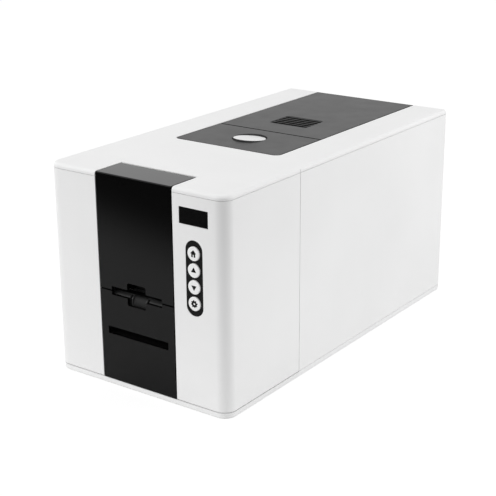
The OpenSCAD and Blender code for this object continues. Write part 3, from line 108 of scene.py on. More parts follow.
class Socket:
    """A socket of a node tree. Arithmetic on it adds the Math nodes that work it out."""

    def __init__(self, tree, socket=None):
        self.tree = tree
        self.socket = socket

    def node(self, kind, settings=None, values=None, output=0):
        """Adds a node with its settings and with the values or links of its sockets."""
        new = self.tree.nodes.new(kind)
        for name, value in (settings or {}).items():
            if name == "stops":
                ramp = new.color_ramp.elements
                while len(ramp) < len(value):
                    ramp.new(0.5)
                for stop, (place, colour) in zip(ramp, value):
                    stop.position = place
                    stop.color = (*colour, 1)
            else:
                setattr(new, name, value)
        for name, value in (values or {}).items():
            if isinstance(value, Socket):
                self.tree.links.new(value.socket, new.inputs[name])
            else:
                new.inputs[name].default_value = value
        return Socket(self.tree, new.outputs[output] if new.outputs else None)

    def math(self, operation, *values):
        """Does one operation on these values."""
        return self.node("ShaderNodeMath", {"operation": operation}, dict(enumerate(values)))

    def __add__(self, other):
        return self.math("ADD", self, other)

    def __sub__(self, other):
        return self.math("SUBTRACT", self, other)

    def __mul__(self, other):
        return self.math("MULTIPLY", self, other)

    def __truediv__(self, other):
        return self.math("DIVIDE", self, other)

    def __radd__(self, other):
        return self.math("ADD", other, self)

    def __rsub__(self, other):
        return self.math("SUBTRACT", other, self)

    def __rmul__(self, other):
        return self.math("MULTIPLY", other, self)

    def __abs__(self):
        return self.math("ABSOLUTE", self)

    def either(self, other):
        """1 where this mask or the other is 1."""
        return self.math("MAXIMUM", self, other)

    def band(self, low, high):
        """0 below low, 1 above high, and a smooth rise between them."""
        ends = {"Value": self, "From Min": low, "From Max": high}
        return self.node("ShaderNodeMapRange", {"interpolation_type": "SMOOTHSTEP"}, ends)

    def mix(self, first, second):
        """The colour that goes from first to second as this socket goes from 0 to 1."""
        return self.node("ShaderNodeMix", {"data_type": "RGBA"}, {0: self, 6: first, 7: second}, output=2)


def grey(shade, warmth=0.0):
    """The colour that shows as this shade of 0 to 255 on the screen, a little warmer or cooler."""
    linear = []
    for tint in (1 + warmth, 1, 1 - warmth):
        shown = shade * tint / 255
        linear.append(((shown + 0.055) / 1.055) ** 2.4 if shade * tint > 10.3 else shown / 12.92)
    return (*linear, 1)


world = bpy.data.worlds.new("studio")
scene.world = world
world.use_nodes = True
world.node_tree.nodes.clear()
room = Socket(world.node_tree)
seen_rays = ("Is Camera Ray", "Is Glossy Ray", "Is Transmission Ray")
seen = sum((room.node("ShaderNodeLightPath", output=ray) for ray in seen_rays), 0)
# The room is seen as white, and lights the printer with this share of it
room_light = 0.66
strength = room_light + (1 - room_light) * seen
background = room.node("ShaderNodeBackground", None, {"Color": (1, 1, 1, 1), "Strength": strength})
room.node("ShaderNodeOutputWorld", None, {"Surface": background})

bpy.ops.mesh.primitive_plane_add(size=12)
floor = bpy.context.object
floor.name = "floor"
table_top = bpy.data.materials.new("table_top")
table_top.use_nodes = True
table_top.node_tree.nodes.clear()
table = Socket(table_top.node_tree)
on_table = table.node("ShaderNodeTexCoord", output="Object")
# The table ends softly in front of the printer, along a line that leaves its front 15 degrees towards +X
to_front = (0.2588, -0.9659, 0)
end_from = 0.36
end_to = 0.50
reach = table.node("ShaderNodeVectorMath", {"operation": "DOT_PRODUCT"}, {0: on_table, 1: to_front}, "Value")
table_end = reach.band(end_from, end_to)
# The camera sees white paper, which keeps the printer's shadow
camera_ray = table.node("ShaderNodeLightPath", output="Is Camera Ray")
lit = table.node("ShaderNodeBsdfDiffuse", None, {"Color": table_end.mix(grey(200), grey(20))})
lit_white = table.node("ShaderNodeBsdfDiffuse", None, {"Color": grey(250)})
white = table.node("ShaderNodeEmission", None, {"Strength": 1.06})
paper = table.node("ShaderNodeMixShader", None, {"Fac": 0.85, 1: lit_white, 2: white})
top = table.node("ShaderNodeMixShader", None, {"Fac": camera_ray, 1: lit, 2: paper})
table.node("ShaderNodeOutputMaterial", None, {"Surface": top})
floor.data.materials.append(table_top)

# Each lamp's azimuth, elevation and power. Both stand well off and face the middle of the printer
lamp_size = 1.4
lamp_distance = 2.6
middle = Matrix.Translation((0, 0, 0.1))
for name, lamp_azimuth, lamp_elevation, power in (("lamp_left", -32, 20, 33), ("lamp_right", 118, 17, 30)):
    lamp_data = bpy.data.lights.new(name, "AREA")
    lamp_data.size = lamp_size
    lamp_data.energy = power
    lamp = bpy.data.objects.new(name, lamp_data)
    scene.collection.objects.link(lamp)
    turn = Matrix.Rotation(math.radians(lamp_azimuth), 4, "Z")
    tilt = Matrix.Rotation(math.radians(90 - lamp_elevation), 4, "X")
    lamp.matrix_world = middle @ (turn @ tilt) @ Matrix.Translation((0, 0, lamp_distance))
    lamp.visible_glossy = False
scene.view_settings.view_transform = "Standard"


# Base tray. A shallow white ABS moulding with a rounded lower edge, which carries the chassis.
# It stands on four rubber feet that are seated in its floor.


class Finish(Socket):
    """One finish of the printer: a material with its shader and the place of each point on the object.

    Its colour and roughness are the plain ones, which a pattern may then vary.
    """

    def __init__(self, name, colour, roughness, **shader):
        self.material = bpy.data.materials.new(name)
        self.material.use_nodes = True
        tree = self.material.node_tree
        tree.nodes.clear()
        self.tree = tree
        self.shader = tree.nodes.new("ShaderNodeBsdfPrincipled")
        self.output = tree.nodes.new("ShaderNodeOutputMaterial")
        tree.links.new(self.shader.outputs[0], self.output.inputs[0])
        self.place = self.node("ShaderNodeTexCoord", output="Object")
        self.set("Base Color", colour)
        self.set("Roughness", roughness)
        for socket, value in shader.items():
            self.set(socket.replace("_", " "), value)

    def set(self, socket, value):
        """Gives a value or a link to one of the shader's sockets."""
        if isinstance(value, Socket):
            self.tree.links.new(value.socket, self.shader.inputs[socket])
        else:
            self.shader.inputs[socket].default_value = value

    def noise(self, scale, detail, stretch=(1, 1, 1)):
        """Noise from 0 to 1, of so many grains to a metre, finer where it is stretched."""
        where = self.node("ShaderNodeMapping", None, {"Vector": self.place, "Scale": stretch})
        return self.node("ShaderNodeTexNoise", None, {"Vector": where, "Scale": scale, "Detail": detail})

    def along(self, axis):
        """The place along X, Y or Z, in metres."""
        return self.node("ShaderNodeSeparateXYZ", None, {"Vector": self.place}, axis)

    def relief(self, height, depth, strength):
        """Raises the surface by a height of 0 to 1, worth depth in metres."""
        bump = self.node("ShaderNodeBump", None, {"Height": height, "Distance": depth, "Strength": strength})
        self.set("Normal", bump)

    def matt(self, mask):
        """Paints shade: leaves the surface dull black, with no gloss at all, where the mask is 1."""
        glossy = Socket(self.tree, self.shader.outputs[0])
        black = self.node("ShaderNodeBsdfDiffuse", None, {"Color": grey(4)})
        mixed = self.node("ShaderNodeMixShader", None, {"Fac": mask, 1: glossy, 2: black})
        self.tree.links.new(mixed.socket, self.output.inputs[0])


def moulded(name, shade, roughness, grain, warmth=0.0, **shader):
    """Moulded plastic: a fine spark-eroded grain, with slight clouds in its colour and its sheen."""
    finish = Finish(name, grey(shade), roughness, **shader)
    clouds = finish.noise(9, 3)
    finish.set("Base Color", clouds.mix(grey(shade * 0.975, warmth), grey(min(shade * 1.02, 250), warmth)))
    texture = finish.noise(grain, 3)
    finish.set("Roughness", roughness - 0.05 + 0.1 * finish.noise(60, 2) + 0.06 * texture)
    finish.relief(texture, 0.00004, 0.35)
    return finish


def dress(finish, *nodes):
    """Gives a finish to CAD nodes or to new pieces."""
    for node in nodes:
        piece = frame["nodes"][node] if isinstance(node, str) else node
        if not piece.material_slots:
            piece.data.materials.append(None)
        for material_slot in piece.material_slots:
            material_slot.material = finish.material


def alone(*pieces):
    """Leaves edit mode and selects these pieces and no others, with the first one active."""
    if bpy.context.mode != "OBJECT":
        bpy.ops.object.mode_set(mode="OBJECT")
    bpy.ops.object.select_all(action="DESELECT")
    for piece in pieces:
        piece.select_set(True)
    if pieces:
        bpy.context.view_layer.objects.active = pieces[0]


def edit(piece, faces=None):
    """Opens a piece alone in edit mode, with all of its faces selected or those that pass a test."""
    alone(piece)
    bpy.context.tool_settings.mesh_select_mode = (False, False, True)
    for parts in (piece.data.vertices, piece.data.edges, piece.data.polygons):
        parts.foreach_set("select", [False] * len(parts))
    if faces is not None:
        for face in piece.data.polygons:
            face.select = faces(face)
    bpy.ops.object.mode_set(mode="EDIT")
    if faces is None:
        bpy.ops.mesh.select_all(action="SELECT")


def finished(piece, name, body, edge=0.0, steps=2):
    """Closes a piece: rounds its sharp edges, smooths its shading and puts it on its body."""
    alone(piece)
    bpy.ops.object.transform_apply(location=True, rotation=True, scale=True)
    piece.name = piece.data.name = name
    if edge:
        bevel = piece.modifiers.new("edge", "BEVEL")
        bevel.width = edge
        bevel.segments = steps
        bevel.limit_method = "ANGLE"
        bevel.angle_limit = math.radians(35)
        bpy.ops.object.modifier_apply(modifier="edge")
    bpy.ops.object.shade_smooth_by_angle(angle=math.radians(38))
    weigh = piece.modifiers.new("weigh", "WEIGHTED_NORMAL")
    weigh.keep_sharp = True
    bpy.ops.object.modifier_apply(modifier="weigh")
    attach(piece, body)


def moulding(node, edge, steps=2, shape=None):
    """A copy of a CAD node whose sharp edges have the small radius that its mould or die leaves."""
    source = frame["nodes"][node]
    piece = source.copy()
    piece.data = source.data.copy()
    piece.parent = None
    for key in list(piece.keys()):
        del piece[key]
    scene.collection.objects.link(piece)
    edit(piece)
    bpy.ops.mesh.remove_doubles(threshold=0.000002)
    bpy.ops.mesh.dissolve_limited(angle_limit=math.radians(0.5))
    bpy.ops.object.mode_set(mode="OBJECT")
    if shape:
        shape(piece)
    finished(piece, node + "_moulding", source["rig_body"], edge, steps)
    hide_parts(node)
    return piece


white_shell = moulded("white_shell", 242, 0.42, 1400)
tray_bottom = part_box("base_tray")[0].z
tray_edge_top = tray_bottom + 0.0015
foot_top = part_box("rubber_feet")[1].z
over_table = 0.0002


def skirted(tray):
    """Brings the tray's rounded lower edge down to just over the table, and leaves the seats of the feet."""
    edit(tray, lambda face: face.normal.z < -0.02 and face.center.z < tray_edge_top and
         (face.normal.z > -0.99 or abs(face.center.z - foot_top) > 0.0002))
    bpy.ops.transform.translate(value=(0, 0, over_table - tray_bottom))


dress(white_shell, moulding("base_tray", 0.0003, shape=skirted))
feet_rubber = moulded("feet_rubber", 42, 0.8, 900)
dress(feet_rubber, moulding("rubber_feet", 0.0005))


# Chassis. A floor and two side plates of zinc-plated sheet steel, blanked and bent.
# The plates carry the rollers, and the floor lies on bosses of the base tray.
zinc = Finish("zinc_plate", grey(188), 0.36, Metallic=1.0)
spangle = zinc.node("ShaderNodeTexVoronoi", None, {"Vector": zinc.place, "Scale": 170.0}, "Color")
flake = zinc.node("ShaderNodeSeparateXYZ", None, {"Vector": spangle})
rolled = zinc.noise(40, 4, (1, 0.6, 12))
zinc.set("Base Color", (flake * 0.7 + rolled * 0.3).mix(grey(172, -0.01), grey(203, -0.004)))
zinc.set("Roughness", 0.28 + 0.16 * flake + 0.1 * rolled)
zinc.relief(zinc.noise(900, 3, (1, 0.2, 2)), 0.00002, 0.3)
dress(zinc, "chassis_floor")
for plate in ("left_plate", "right_plate"):
    dress(zinc, moulding(plate, 0.0002))


# Rollers. Ground rubber sleeves on turned steel shafts, which run in sintered bronze bushes.
# A toothed rubber belt from the motor's pulley drives five of them, and the others are idlers.
def turned(name, shade, roughness, axis="X"):
    """Metal with the fine rings that a lathe leaves round one axis."""
    finish = Finish(name, grey(shade), roughness, Metallic=1.0)
    rings = finish.noise(2200, 1, tuple(1.0 if letter == axis else 0.01 for letter in "XYZ"))
    finish.set("Base Color", rings.mix(grey(shade * 0.94), grey(shade)))
    finish.set("Roughness", roughness - 0.06 + 0.14 * rings)
    finish.relief(rings, 0.00001, 0.4)
    return finish


steel = turned("turned_steel", 205, 0.24)
bronze = Finish("bronze", (0.42, 0.22, 0.1, 1), 0.42, Metallic=1.0)
pores = bronze.noise(1800, 3)
bronze.set("Base Color", pores.mix((0.24, 0.12, 0.055, 1), (0.5, 0.27, 0.13, 1)))
bronze.relief(pores, 0.00003, 0.4)
dress(bronze, "shaft_bushes")
sleeve_end = 0.0268
shaft_radius = 0.0026


def sleeve(name, node, colour, dark):
    """Steel where a roller is as thin as its shaft, and ground rubber where it is thicker."""
    low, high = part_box(node)
    finish = Finish(name, colour, 0.7)
    out_y = finish.along("Y") - (low.y + high.y) / 2
    out_z = finish.along("Z") - (low.z + high.z) / 2
    squared = out_y * out_y + out_z * out_z
    thick = squared.math("SQRT", squared).band(shaft_radius, shaft_radius + 0.0002)
    inside = 1 - abs(finish.along("X")).band(sleeve_end, sleeve_end + 0.0001)
    rubber = inside * thick
    ground = finish.noise(2600, 2, (1, 0.04, 0.04))
    finish.set("Base Color", rubber.mix(grey(200), ground.mix(dark, colour)))
    finish.set("Metallic", 1 - rubber)
    finish.set("Roughness", 0.26 + rubber * (0.36 + 0.18 * ground))
    finish.relief(ground, 0.00003, 0.5)
    return finish


for roller in ("pick_roller", "feed_roller", "support_roller", "platen_roller", "rear_roller", "pinch_roller",
               "rear_pinch"):
    dress(sleeve(roller + "_rubber", roller, grey(58), grey(38)), roller)
sticky_blue = sleeve("cleaning_rubber", "cleaning_roller", (0.12, 0.3, 0.52, 1), (0.07, 0.2, 0.4, 1))
dress(sticky_blue, "cleaning_roller")
dress(steel, "drive_pulley", "hinge_pins", "case_screws")
dress(moulded("belt_rubber", 34, 0.75, 1200), "timing_belt")
dress(moulded("motor_black", 40, 0.45, 1200, Metallic=0.4), "drive_motor", "ribbon_motor")


# Card path. The hopper, the slot guide, the rails and the chute are moulded in black plastic.
# A black weight presses on the cards, and a grey gate tips between the print path and the chute.
dark_inner = moulded("dark_inner", 44, 0.5, 1100)
dress(dark_inner, moulding("card_guides", 0.0003))
slot_black = moulded("slot_black", 44, 0.5, 1100)
# Painted shade: above the slot's ceiling the guide is painted black, without gloss
slot_ceiling = 0.0945
slot_black.matt(slot_black.along("Z").band(slot_ceiling, slot_ceiling + 0.0005))
dress(slot_black, moulding("slot_guide", 0.0003))


def drawn(add, **sizes):
    """Adds a primitive at its size and place, alone and open in edit mode."""
    alone()
    add(**sizes)
    piece = bpy.context.object
    edit(piece)
    return piece


# A rounded ramp fills the lower part of the guide's finger recess, up to the floor that the card slides on
guide_low, guide_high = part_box("slot_guide")
recess_floor = 0.0799
recess_width = 0.0142
card_floor = 0.0883
ramp_foot = Vector((0, guide_high.y, recess_floor))
ramp_height = card_floor - ramp_foot.z
ramp_depth = guide_high.y - guide_low.y - 0.0002
ramp = drawn(bpy.ops.mesh.primitive_cylinder_add, vertices=96, radius=ramp_height, depth=recess_width,
             location=ramp_foot, rotation=(0, math.radians(90), 0))
alone(ramp)
bpy.ops.object.transform_apply(location=True, rotation=True, scale=True)
for cut in ((0, 1, 0), (0, 0, -1)):
    edit(ramp)
    bpy.ops.mesh.bisect(plane_co=ramp_foot, plane_no=cut, use_fill=True, clear_outer=True)
bpy.ops.mesh.select_all(action="SELECT")
bpy.ops.transform.resize(value=(1, ramp_depth / ramp_height, 1), center_override=ramp_foot)
finished(ramp, "finger_ramp", "root", 0.0002)
# The ramp is the guide's black plastic painted darker, as painted shade in the recess
dress(moulded("ramp_shaded_black", 27, 0.5, 1100, Specular_IOR_Level=0.35), ramp)
# The chute and the hopper are the inner black plastic painted much darker and with little gloss, as painted
# shade inside them
chute_shaded_black = moulded("chute_shaded_black", 12, 0.6, 1100, Specular_IOR_Level=0.1)
dress(chute_shaded_black, moulding("card_hopper", 0.0003))
dress(chute_shaded_black, moulding("output_chute", 0.0002))
gate_grey = moulded("gate_grey", 120, 0.4, 1200)
dress(gate_grey, moulding("diverter_gate", 0.0002))
weight_black = moulded("weight_black", 16, 0.5, 1200, Specular_IOR_Level=0.15)
dress(weight_black, moulding("card_weight", 0.0004))


# Ribbon. A film with colour panels runs from the supply spool under the print head to the take-up spool.
# Both spools sit in a grey plastic cartridge, and a brass pinion turns the white gear of the take-up.
film = Finish("ribbon_film", grey(120), 0.22, Coat_Weight=0.6, Coat_Roughness=0.1)
# Yellow, magenta, cyan and black follow each other, and four panels make one set
panel_set = 0.236
panel = film.math("FRACT", (film.along("Y") + 0.2) / panel_set)
dyes = [
    (0.0, (0.75, 0.5, 0.02)),
    (0.25, (0.55, 0.03, 0.18)),
    (0.5, (0.02, 0.25, 0.5)),
    (0.75, (0.01, 0.01, 0.012)),
]
colours = film.node("ShaderNodeValToRGB", {"stops": dyes}, {"Fac": panel})
colours.socket.node.color_ramp.interpolation = "CONSTANT"
film.set("Base Color", colours)
dress(film, "ribbon_film")
dress(moulded("spool_grey", 70, 0.42, 1200), "takeup_spool", "supply_spool")
dress(moulded("cartridge_grey", 196, 0.45, 1200), moulding("cartridge_frame", 0.0003))
dress(moulded("gear_white", 222, 0.35, 1200), "takeup_gear")
dress(turned("brass", 150, 0.3), "ribbon_pinion")


# Print head. A ceramic bar under an aluminium heat sink, on a bent steel bracket that hangs from the lid.
# The fan over it is moulded in black plastic and hangs under the lid's grille.
dress(zinc, moulding("head_bracket", 0.0002))
dress(turned("aluminium", 214, 0.32, axis="Z"), moulding("heat_sink", 0.0002))
# A dark glazed line of heaters runs across the ceramic's underside, with a band of driver chips beside it
ceramic = moulded("ceramic", 190, 0.3, 900, warmth=0.03)
head_low, head_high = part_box("print_head")
heater_half = 0.0009
driver_half = 0.0014
driver_offset = 0.0045
underside = 1 - ceramic.along("Z").band(head_low.z + 0.0002, head_low.z + 0.0003)
off_middle = ceramic.along("Y") - (head_low.y + head_high.y) / 2
heaters = underside * (1 - abs(off_middle).band(heater_half, heater_half + 0.0001))
drivers = underside * (1 - abs(off_middle - driver_offset).band(driver_half, driver_half + 0.0001))
ceramic.set("Base Color", heaters.either(drivers).mix(grey(188, 0.03), grey(30)))
dress(ceramic, "print_head")
fan_black = moulded("fan_black", 14, 0.5, 1200, Specular_IOR_Level=0.15)
dress(fan_black, moulding("fan_frame", 0.0003), moulding("fan_rotor", 0.0002))


# Electronics. A board behind the left plate, a board behind the keys, and the power supply in its steel can.
# The boards are glass fibre under green solder mask, with copper tracks and tinned pads.
board = Finish("solder_mask", (0.01, 0.12, 0.05, 1), 0.35)
weave = board.noise(700, 2)
cells = board.node("ShaderNodeTexVoronoi", {"feature": "DISTANCE_TO_EDGE", "distance": "CHEBYCHEV"},
                   {"Vector": board.place, "Scale": 210.0, "Randomness": 0.75}, "Distance")
track = 1 - cells.band(0.03, 0.06)
pads = board.node("ShaderNodeTexVoronoi", None, {"Vector": board.place, "Scale": 330.0}, "Distance")
pad = 1 - pads.band(0.12, 0.16)
green = track.mix((0.008, 0.095, 0.04, 1), (0.02, 0.2, 0.085, 1))
board.set("Base Color", pad.mix(green, (0.72, 0.7, 0.62, 1)))
board.set("Metallic", pad)
board.set("Roughness", 0.28 + 0.12 * weave)
board.relief(track, 0.00002, 0.5)
dress(board, "main_board", "front_board")
dress(zinc, moulding("power_supply", 0.0004))


# Shells. Two white ABS mouldings with a fine even grain meet at the side seam and stand on the base tray.
# The rear one has cooling slots low on its left side.
for shell in ("front_shell", "rear_shell"):
    dress(white_shell, moulding(shell, 0.0003))


# Display and keys. A black glass pane, and four white keys that stand a little out of a matt black bezel.
# Each key has a black sign moulded into its face: a house, an arrow up, an arrow down and a toothed wheel.
glass = Finish("display_glass", grey(17), 0.06, Coat_Weight=1.0, Coat_Roughness=0.03)
dress(glass, moulding("display_window", 0.0002))
bezel = moulded("key_bezel", 16, 0.5, 1300, Specular_IOR_Level=0.2)
dress(bezel, moulding("key_bezel", 0.0004))
key_white = moulded("key_white", 249, 0.4, 1600)
sign_black = moulded("sign_black", 7, 0.5, 1600, Specular_IOR_Level=0.2)
# The key's face and the sign's lie this far behind the face of the CAD key, and so the sign is a little proud
key_set_back = 0.00004
sign_set_back = Vector((0, 0.00002, 0))
sign_depth = (0, 0.0005, 0)


def key_moulded(key):
    """Sets a key's face back."""
    edit(key, lambda face: face.normal.y < -0.9 and face.center.y < cad_box[0][1] + 0.0001)
    bpy.ops.transform.translate(value=(0, key_set_back, 0))


for key in ("home", "up", "down", "menu"):
    dress(key_white, moulding("key_" + key, 0.0004, steps=3, shape=key_moulded))


def joined(pieces):
    """Makes one object of several."""
    alone(*pieces)
    bpy.ops.object.join()
    return pieces[0]


def sign_middle(key):
    """The middle of a key's sign, in its face."""
    low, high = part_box("key_" + key)
    return Vector(((low.x + high.x) / 2, low.y, (low.z + high.z) / 2)) + sign_set_back


def thickened(depth):
    """Gives a flat piece that is open and selected its depth, with its faces outwards."""
    bpy.ops.mesh.extrude_region_move(TRANSFORM_OT_translate={"value": depth})
    bpy.ops.mesh.select_all(action="SELECT")
    bpy.ops.mesh.normals_make_consistent(inside=False)


def sign(piece, key):
    """Puts a sign on its key's body."""
    finished(piece, key + "_sign", key + "_key")
    dress(sign_black, piece)


facing = (math.radians(90), 0, 0)

# House: its walls with the doorway left out, and the roof that overhangs them
house_width = 0.0041
house_middle = sign_middle("home")
walls_middle = house_middle + Vector((0, 0, -0.0013))
roof_middle = house_middle + Vector((0, 0, 0.0009))
walls = drawn(bpy.ops.mesh.primitive_plane_add, size=house_width, location=walls_middle, rotation=facing)
bpy.ops.transform.resize(value=(1, 1, 0.78))
bpy.ops.mesh.subdivide(number_cuts=2)
edit(walls, lambda face: abs(face.center.x) < house_width / 6)
bpy.ops.transform.resize(value=(0.7, 1, 1), center_override=house_middle)
edit(walls, lambda face: abs(face.center.x) < house_width / 6 and face.center.y < house_width / 8)
bpy.ops.mesh.delete(type="FACE")
roof = drawn(bpy.ops.mesh.primitive_circle_add, vertices=3, radius=0.0035, fill_type="NGON",
             location=roof_middle, rotation=facing)
bpy.ops.transform.resize(value=(1, 1, 0.6))
house = joined([walls, roof])
edit(house)
thickened(sign_depth)
sign(house, "home")

# Arrows, one up and one down
for key, angle in (("up", 0), ("down", 180)):
    arrow = drawn(bpy.ops.mesh.primitive_circle_add, vertices=3, radius=0.0031, fill_type="NGON",
                  location=sign_middle(key), rotation=(math.radians(90), math.radians(angle), 0))
    bpy.ops.transform.resize(value=(1, 1, 0.95))
    thickened(sign_depth)
    sign(arrow, key)

# Toothed wheel with its bore. Every other one of its sides is drawn out to a tooth
wheel_sides = 16
one_side = math.radians(360 / wheel_sides)
wheel = drawn(bpy.ops.mesh.primitive_circle_add, vertices=wheel_sides, radius=0.0028, fill_type="NGON",
              location=sign_middle("menu"), rotation=facing)
thickened(sign_depth)
edit(wheel, lambda face: len(face.vertices) == 4 and
     round(math.atan2(face.center.y, face.center.x) / one_side - 0.5) % 2 == 0)
bpy.ops.mesh.extrude_faces_move(TRANSFORM_OT_shrink_fatten={"value": 0.0007})
edit(wheel, lambda face: len(face.vertices) == wheel_sides)
bpy.ops.mesh.inset(thickness=0.0019)
bpy.ops.mesh.bridge_edge_loops()
sign(wheel, "menu")


# Black front. The fixed lower panel and the door over it are moulded in high-gloss black.
# Their outer edges, which the gaps show, are painted with shade: dark black and without gloss.
gloss = Finish("gloss_black", grey(9), 0.12, Specular_IOR_Level=0.3)
wipe = gloss.noise(14, 4)
shaded_side_from = 0.0407
split_half = 0.0006
split_z = (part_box("lower_front_panel")[1].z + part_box("front_door")[0].z) / 2
# The door wraps over the top by 34 mm from the front, which lies 1 mm behind the keys
wrap_end = cad_box[0][1] + 0.001 + 0.034
lip_start = wrap_end - 0.002
# Painted shade where the gaps show the edges: the outer sides, the split between panel and door, and the rear
# lip of the wrap
gap_shade = abs(gloss.along("X")).band(shaded_side_from, shaded_side_from + 0.0002)
gap_shade = gap_shade.either(1 - abs(gloss.along("Z") - split_z).band(split_half, split_half + 0.0001))
gap_shade = gap_shade.either(gloss.along("Y").band(lip_start - 0.0001, lip_start + 0.0001))
gloss.set("Base Color", gap_shade.mix(grey(9), grey(2)))
gloss.set("Roughness", 0.1 + 0.05 * wipe + 0.85 * gap_shade)
gloss.matt(gap_shade)
panel_foot_top = 0.008
panel_drop = 0.0011


def lowered(panel):
    """Brings the panel's foot down to the base tray's rim."""
    edit(panel, lambda face: face.normal.z < -0.9 and face.center.z < panel_foot_top)
    bpy.ops.transform.translate(value=(0, 0, -panel_drop))


dress(gloss, moulding("lower_front_panel", 0.0003, shape=lowered))
dress(gloss, moulding("front_door", 0.0003))


# Top. The white cover, and the dark deck that is let into it: a fixed panel round the release button, and the
# lid with its grille. All are moulded, and the deck has the shells' fine grain in a grey black.
dress(white_shell, moulding("top_cover", 0.0003))
deck = moulded("deck_grey", 45, 0.42, 1500, Specular_IOR_Level=0.42)
# Painted shade: the gaps round the deck and behind the button panel are painted dark and without gloss down
# to the ledge
deck_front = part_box("button_panel")[0].y
deck_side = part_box("lid_panel")[1].x
deck_split = (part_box("button_panel")[1].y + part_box("lid_panel")[0].y) / 2
deck_split_half = 0.0009
lip_dark = 0.00045
lip_plain = 0.0006
deck_gap_shade = abs(deck.along("X")).band(deck_side - lip_plain, deck_side - lip_dark)
deck_gap_shade = deck_gap_shade.either(1 - deck.along("Y").band(deck_front + lip_dark, deck_front + lip_plain))
deck_gap_shade = deck_gap_shade.either(1 - abs(deck.along("Y") - deck_split).band(deck_split_half, deck_split_half + 0.0001))
deck_clouds = deck.noise(9, 3)
deck.set("Base Color", deck_gap_shade.mix(deck_clouds.mix(grey(43.8), grey(46)), grey(14)))
deck.matt(deck_gap_shade)
for deck_panel in ("button_panel", "lid_panel"):
    dress(deck, moulding(deck_panel, 0.0003))
vent = moulded("vent_black", 34, 0.5, 1500, Specular_IOR_Level=0.25)
grille_low, grille_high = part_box("vent_grille")
# Painted shade: the walls of its slots are painted black and without gloss from just under the top
vent.matt(1 - vent.along("Z").band(grille_high.z - 0.00035, grille_high.z - 0.0002))
slot_end = 0.0155
slot_wider = 0.0005
slot_longer = 0.0029


def long_slots(grille):
    """Opens up the grille's slots, and leaves a narrow rim at their ends."""
    middle_y = (grille_low.y + grille_high.y) / 2
    inside_x = grille_high.x - 0.003
    inside_y = grille_high.y - middle_y - 0.002
    edit(grille, lambda face: abs(face.normal.z) < 0.5 and abs(face.center.x) < inside_x and
         abs(face.center.y - middle_y) < inside_y)
    bpy.ops.transform.shrink_fatten(value=-slot_wider)
    for way in (-1, 1):
        edit(grille, lambda face: abs(face.normal.z) < 0.5 and
             slot_end < way * face.center.x < grille_high.x - 0.0025)
        bpy.ops.transform.translate(value=(way * slot_longer, 0, 0))


dress(vent, moulding("vent_grille", 0.0003, shape=long_slots))

# The button slopes down to the rear. Its white cap is let into the dark body, which shows as a thin ring
button_low, button_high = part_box("release_button")
cap_middle = Vector((0, (button_low.y + button_high.y) / 2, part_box("top_cover")[1].z))
slope = math.radians(5.5)
cap_radius = 0.01515
cap_thickness = 0.0006
ring_width = 0.0007
seat_depth = 0.0005


def seated(button):
    """Sinks a seat for the cap into the button's sloping top."""
    edit(button, lambda face: face.normal.z > 0.9 and abs(face.center.z - cap_middle.z) < 0.0005)
    bpy.ops.mesh.inset(thickness=ring_width)
    bpy.ops.mesh.extrude_region_move(TRANSFORM_OT_translate={"value": (0, 0, -seat_depth)})


dress(deck, moulding("release_button", 0.0002, shape=seated))
cap = drawn(bpy.ops.mesh.primitive_cylinder_add, vertices=96, radius=cap_radius, depth=cap_thickness,
            location=cap_middle - Vector((0, 0, cap_thickness / 2)))
edit(cap, lambda face: face.normal.z > 0.9)
bpy.ops.mesh.inset(thickness=0.0006)
# The face is dished a little towards its middle, in two steps
for step, dish in ((0.003, 0.00006), (0.005, 0.00008)):
    bpy.ops.mesh.inset(thickness=step)
    bpy.ops.transform.translate(value=(0, 0, -dish))
bpy.ops.mesh.select_all(action="SELECT")
bpy.ops.transform.rotate(value=slope, orient_axis="X", center_override=cap_middle)
finished(cap, "button_cap", "button", 0.00015)
dress(moulded("cap_white", 236, 0.36, 1600), cap)
dress(gate_grey, moulding("latch_slide", 0.0003))


# Rear. A black moulded plate carries the power inlet, the rocker switch and two data ports.
# The ports' cans are drawn steel, and their contacts are gilded.
dress(dark_inner, moulding("io_plate", 0.0004), moulding("power_inlet", 0.0003))
dress(steel, "data_sockets")
rocker_black = moulded("rocker_black", 24, 0.35, 1500)
dress(rocker_black, moulding("power_rocker", 0.0004))
rear_y = cad_box[1][1]
ports_z = 0.036
inlet_middle = Vector((-0.042, rear_y, ports_z))
rocker_middle = Vector((-0.010, rear_y - 0.0085, ports_z))
square_port = Vector((0.022, rear_y, ports_z))
network_port = Vector((0.046, rear_y, ports_z))


def repeated(piece, places):
    """Copies a piece to more places, given from where it stands, and joins them all."""
    alone(piece)
    row = [piece]
    for place in places:
        copy = piece.copy()
        copy.data = piece.data.copy()
        copy.location = piece.location + Vector(place)
        scene.collection.objects.link(copy)
        row.append(copy)
    return joined(row)


# Three flat nickel-plated pins with chamfered tips, over the ones in the inlet's mould
pin_size = (0.0022, 0.0130, 0.0042)
pin_chamfer = 0.0007
pin = drawn(bpy.ops.mesh.primitive_cube_add, size=1, scale=pin_size,
            location=inlet_middle + Vector((0, -0.0102, 0.0015)))
edit(pin, lambda face: face.normal.y > 0.9)
bpy.ops.mesh.extrude_region_move(TRANSFORM_OT_translate={"value": (0, pin_chamfer, 0)})
bpy.ops.transform.resize(value=(0.5, 1, 0.75))
pins = repeated(pin, [(-0.007, 0, -0.003), (0.007, 0, -0.003)])
finished(pins, "inlet_pins", "root", 0.0002)
dress(steel, pins)

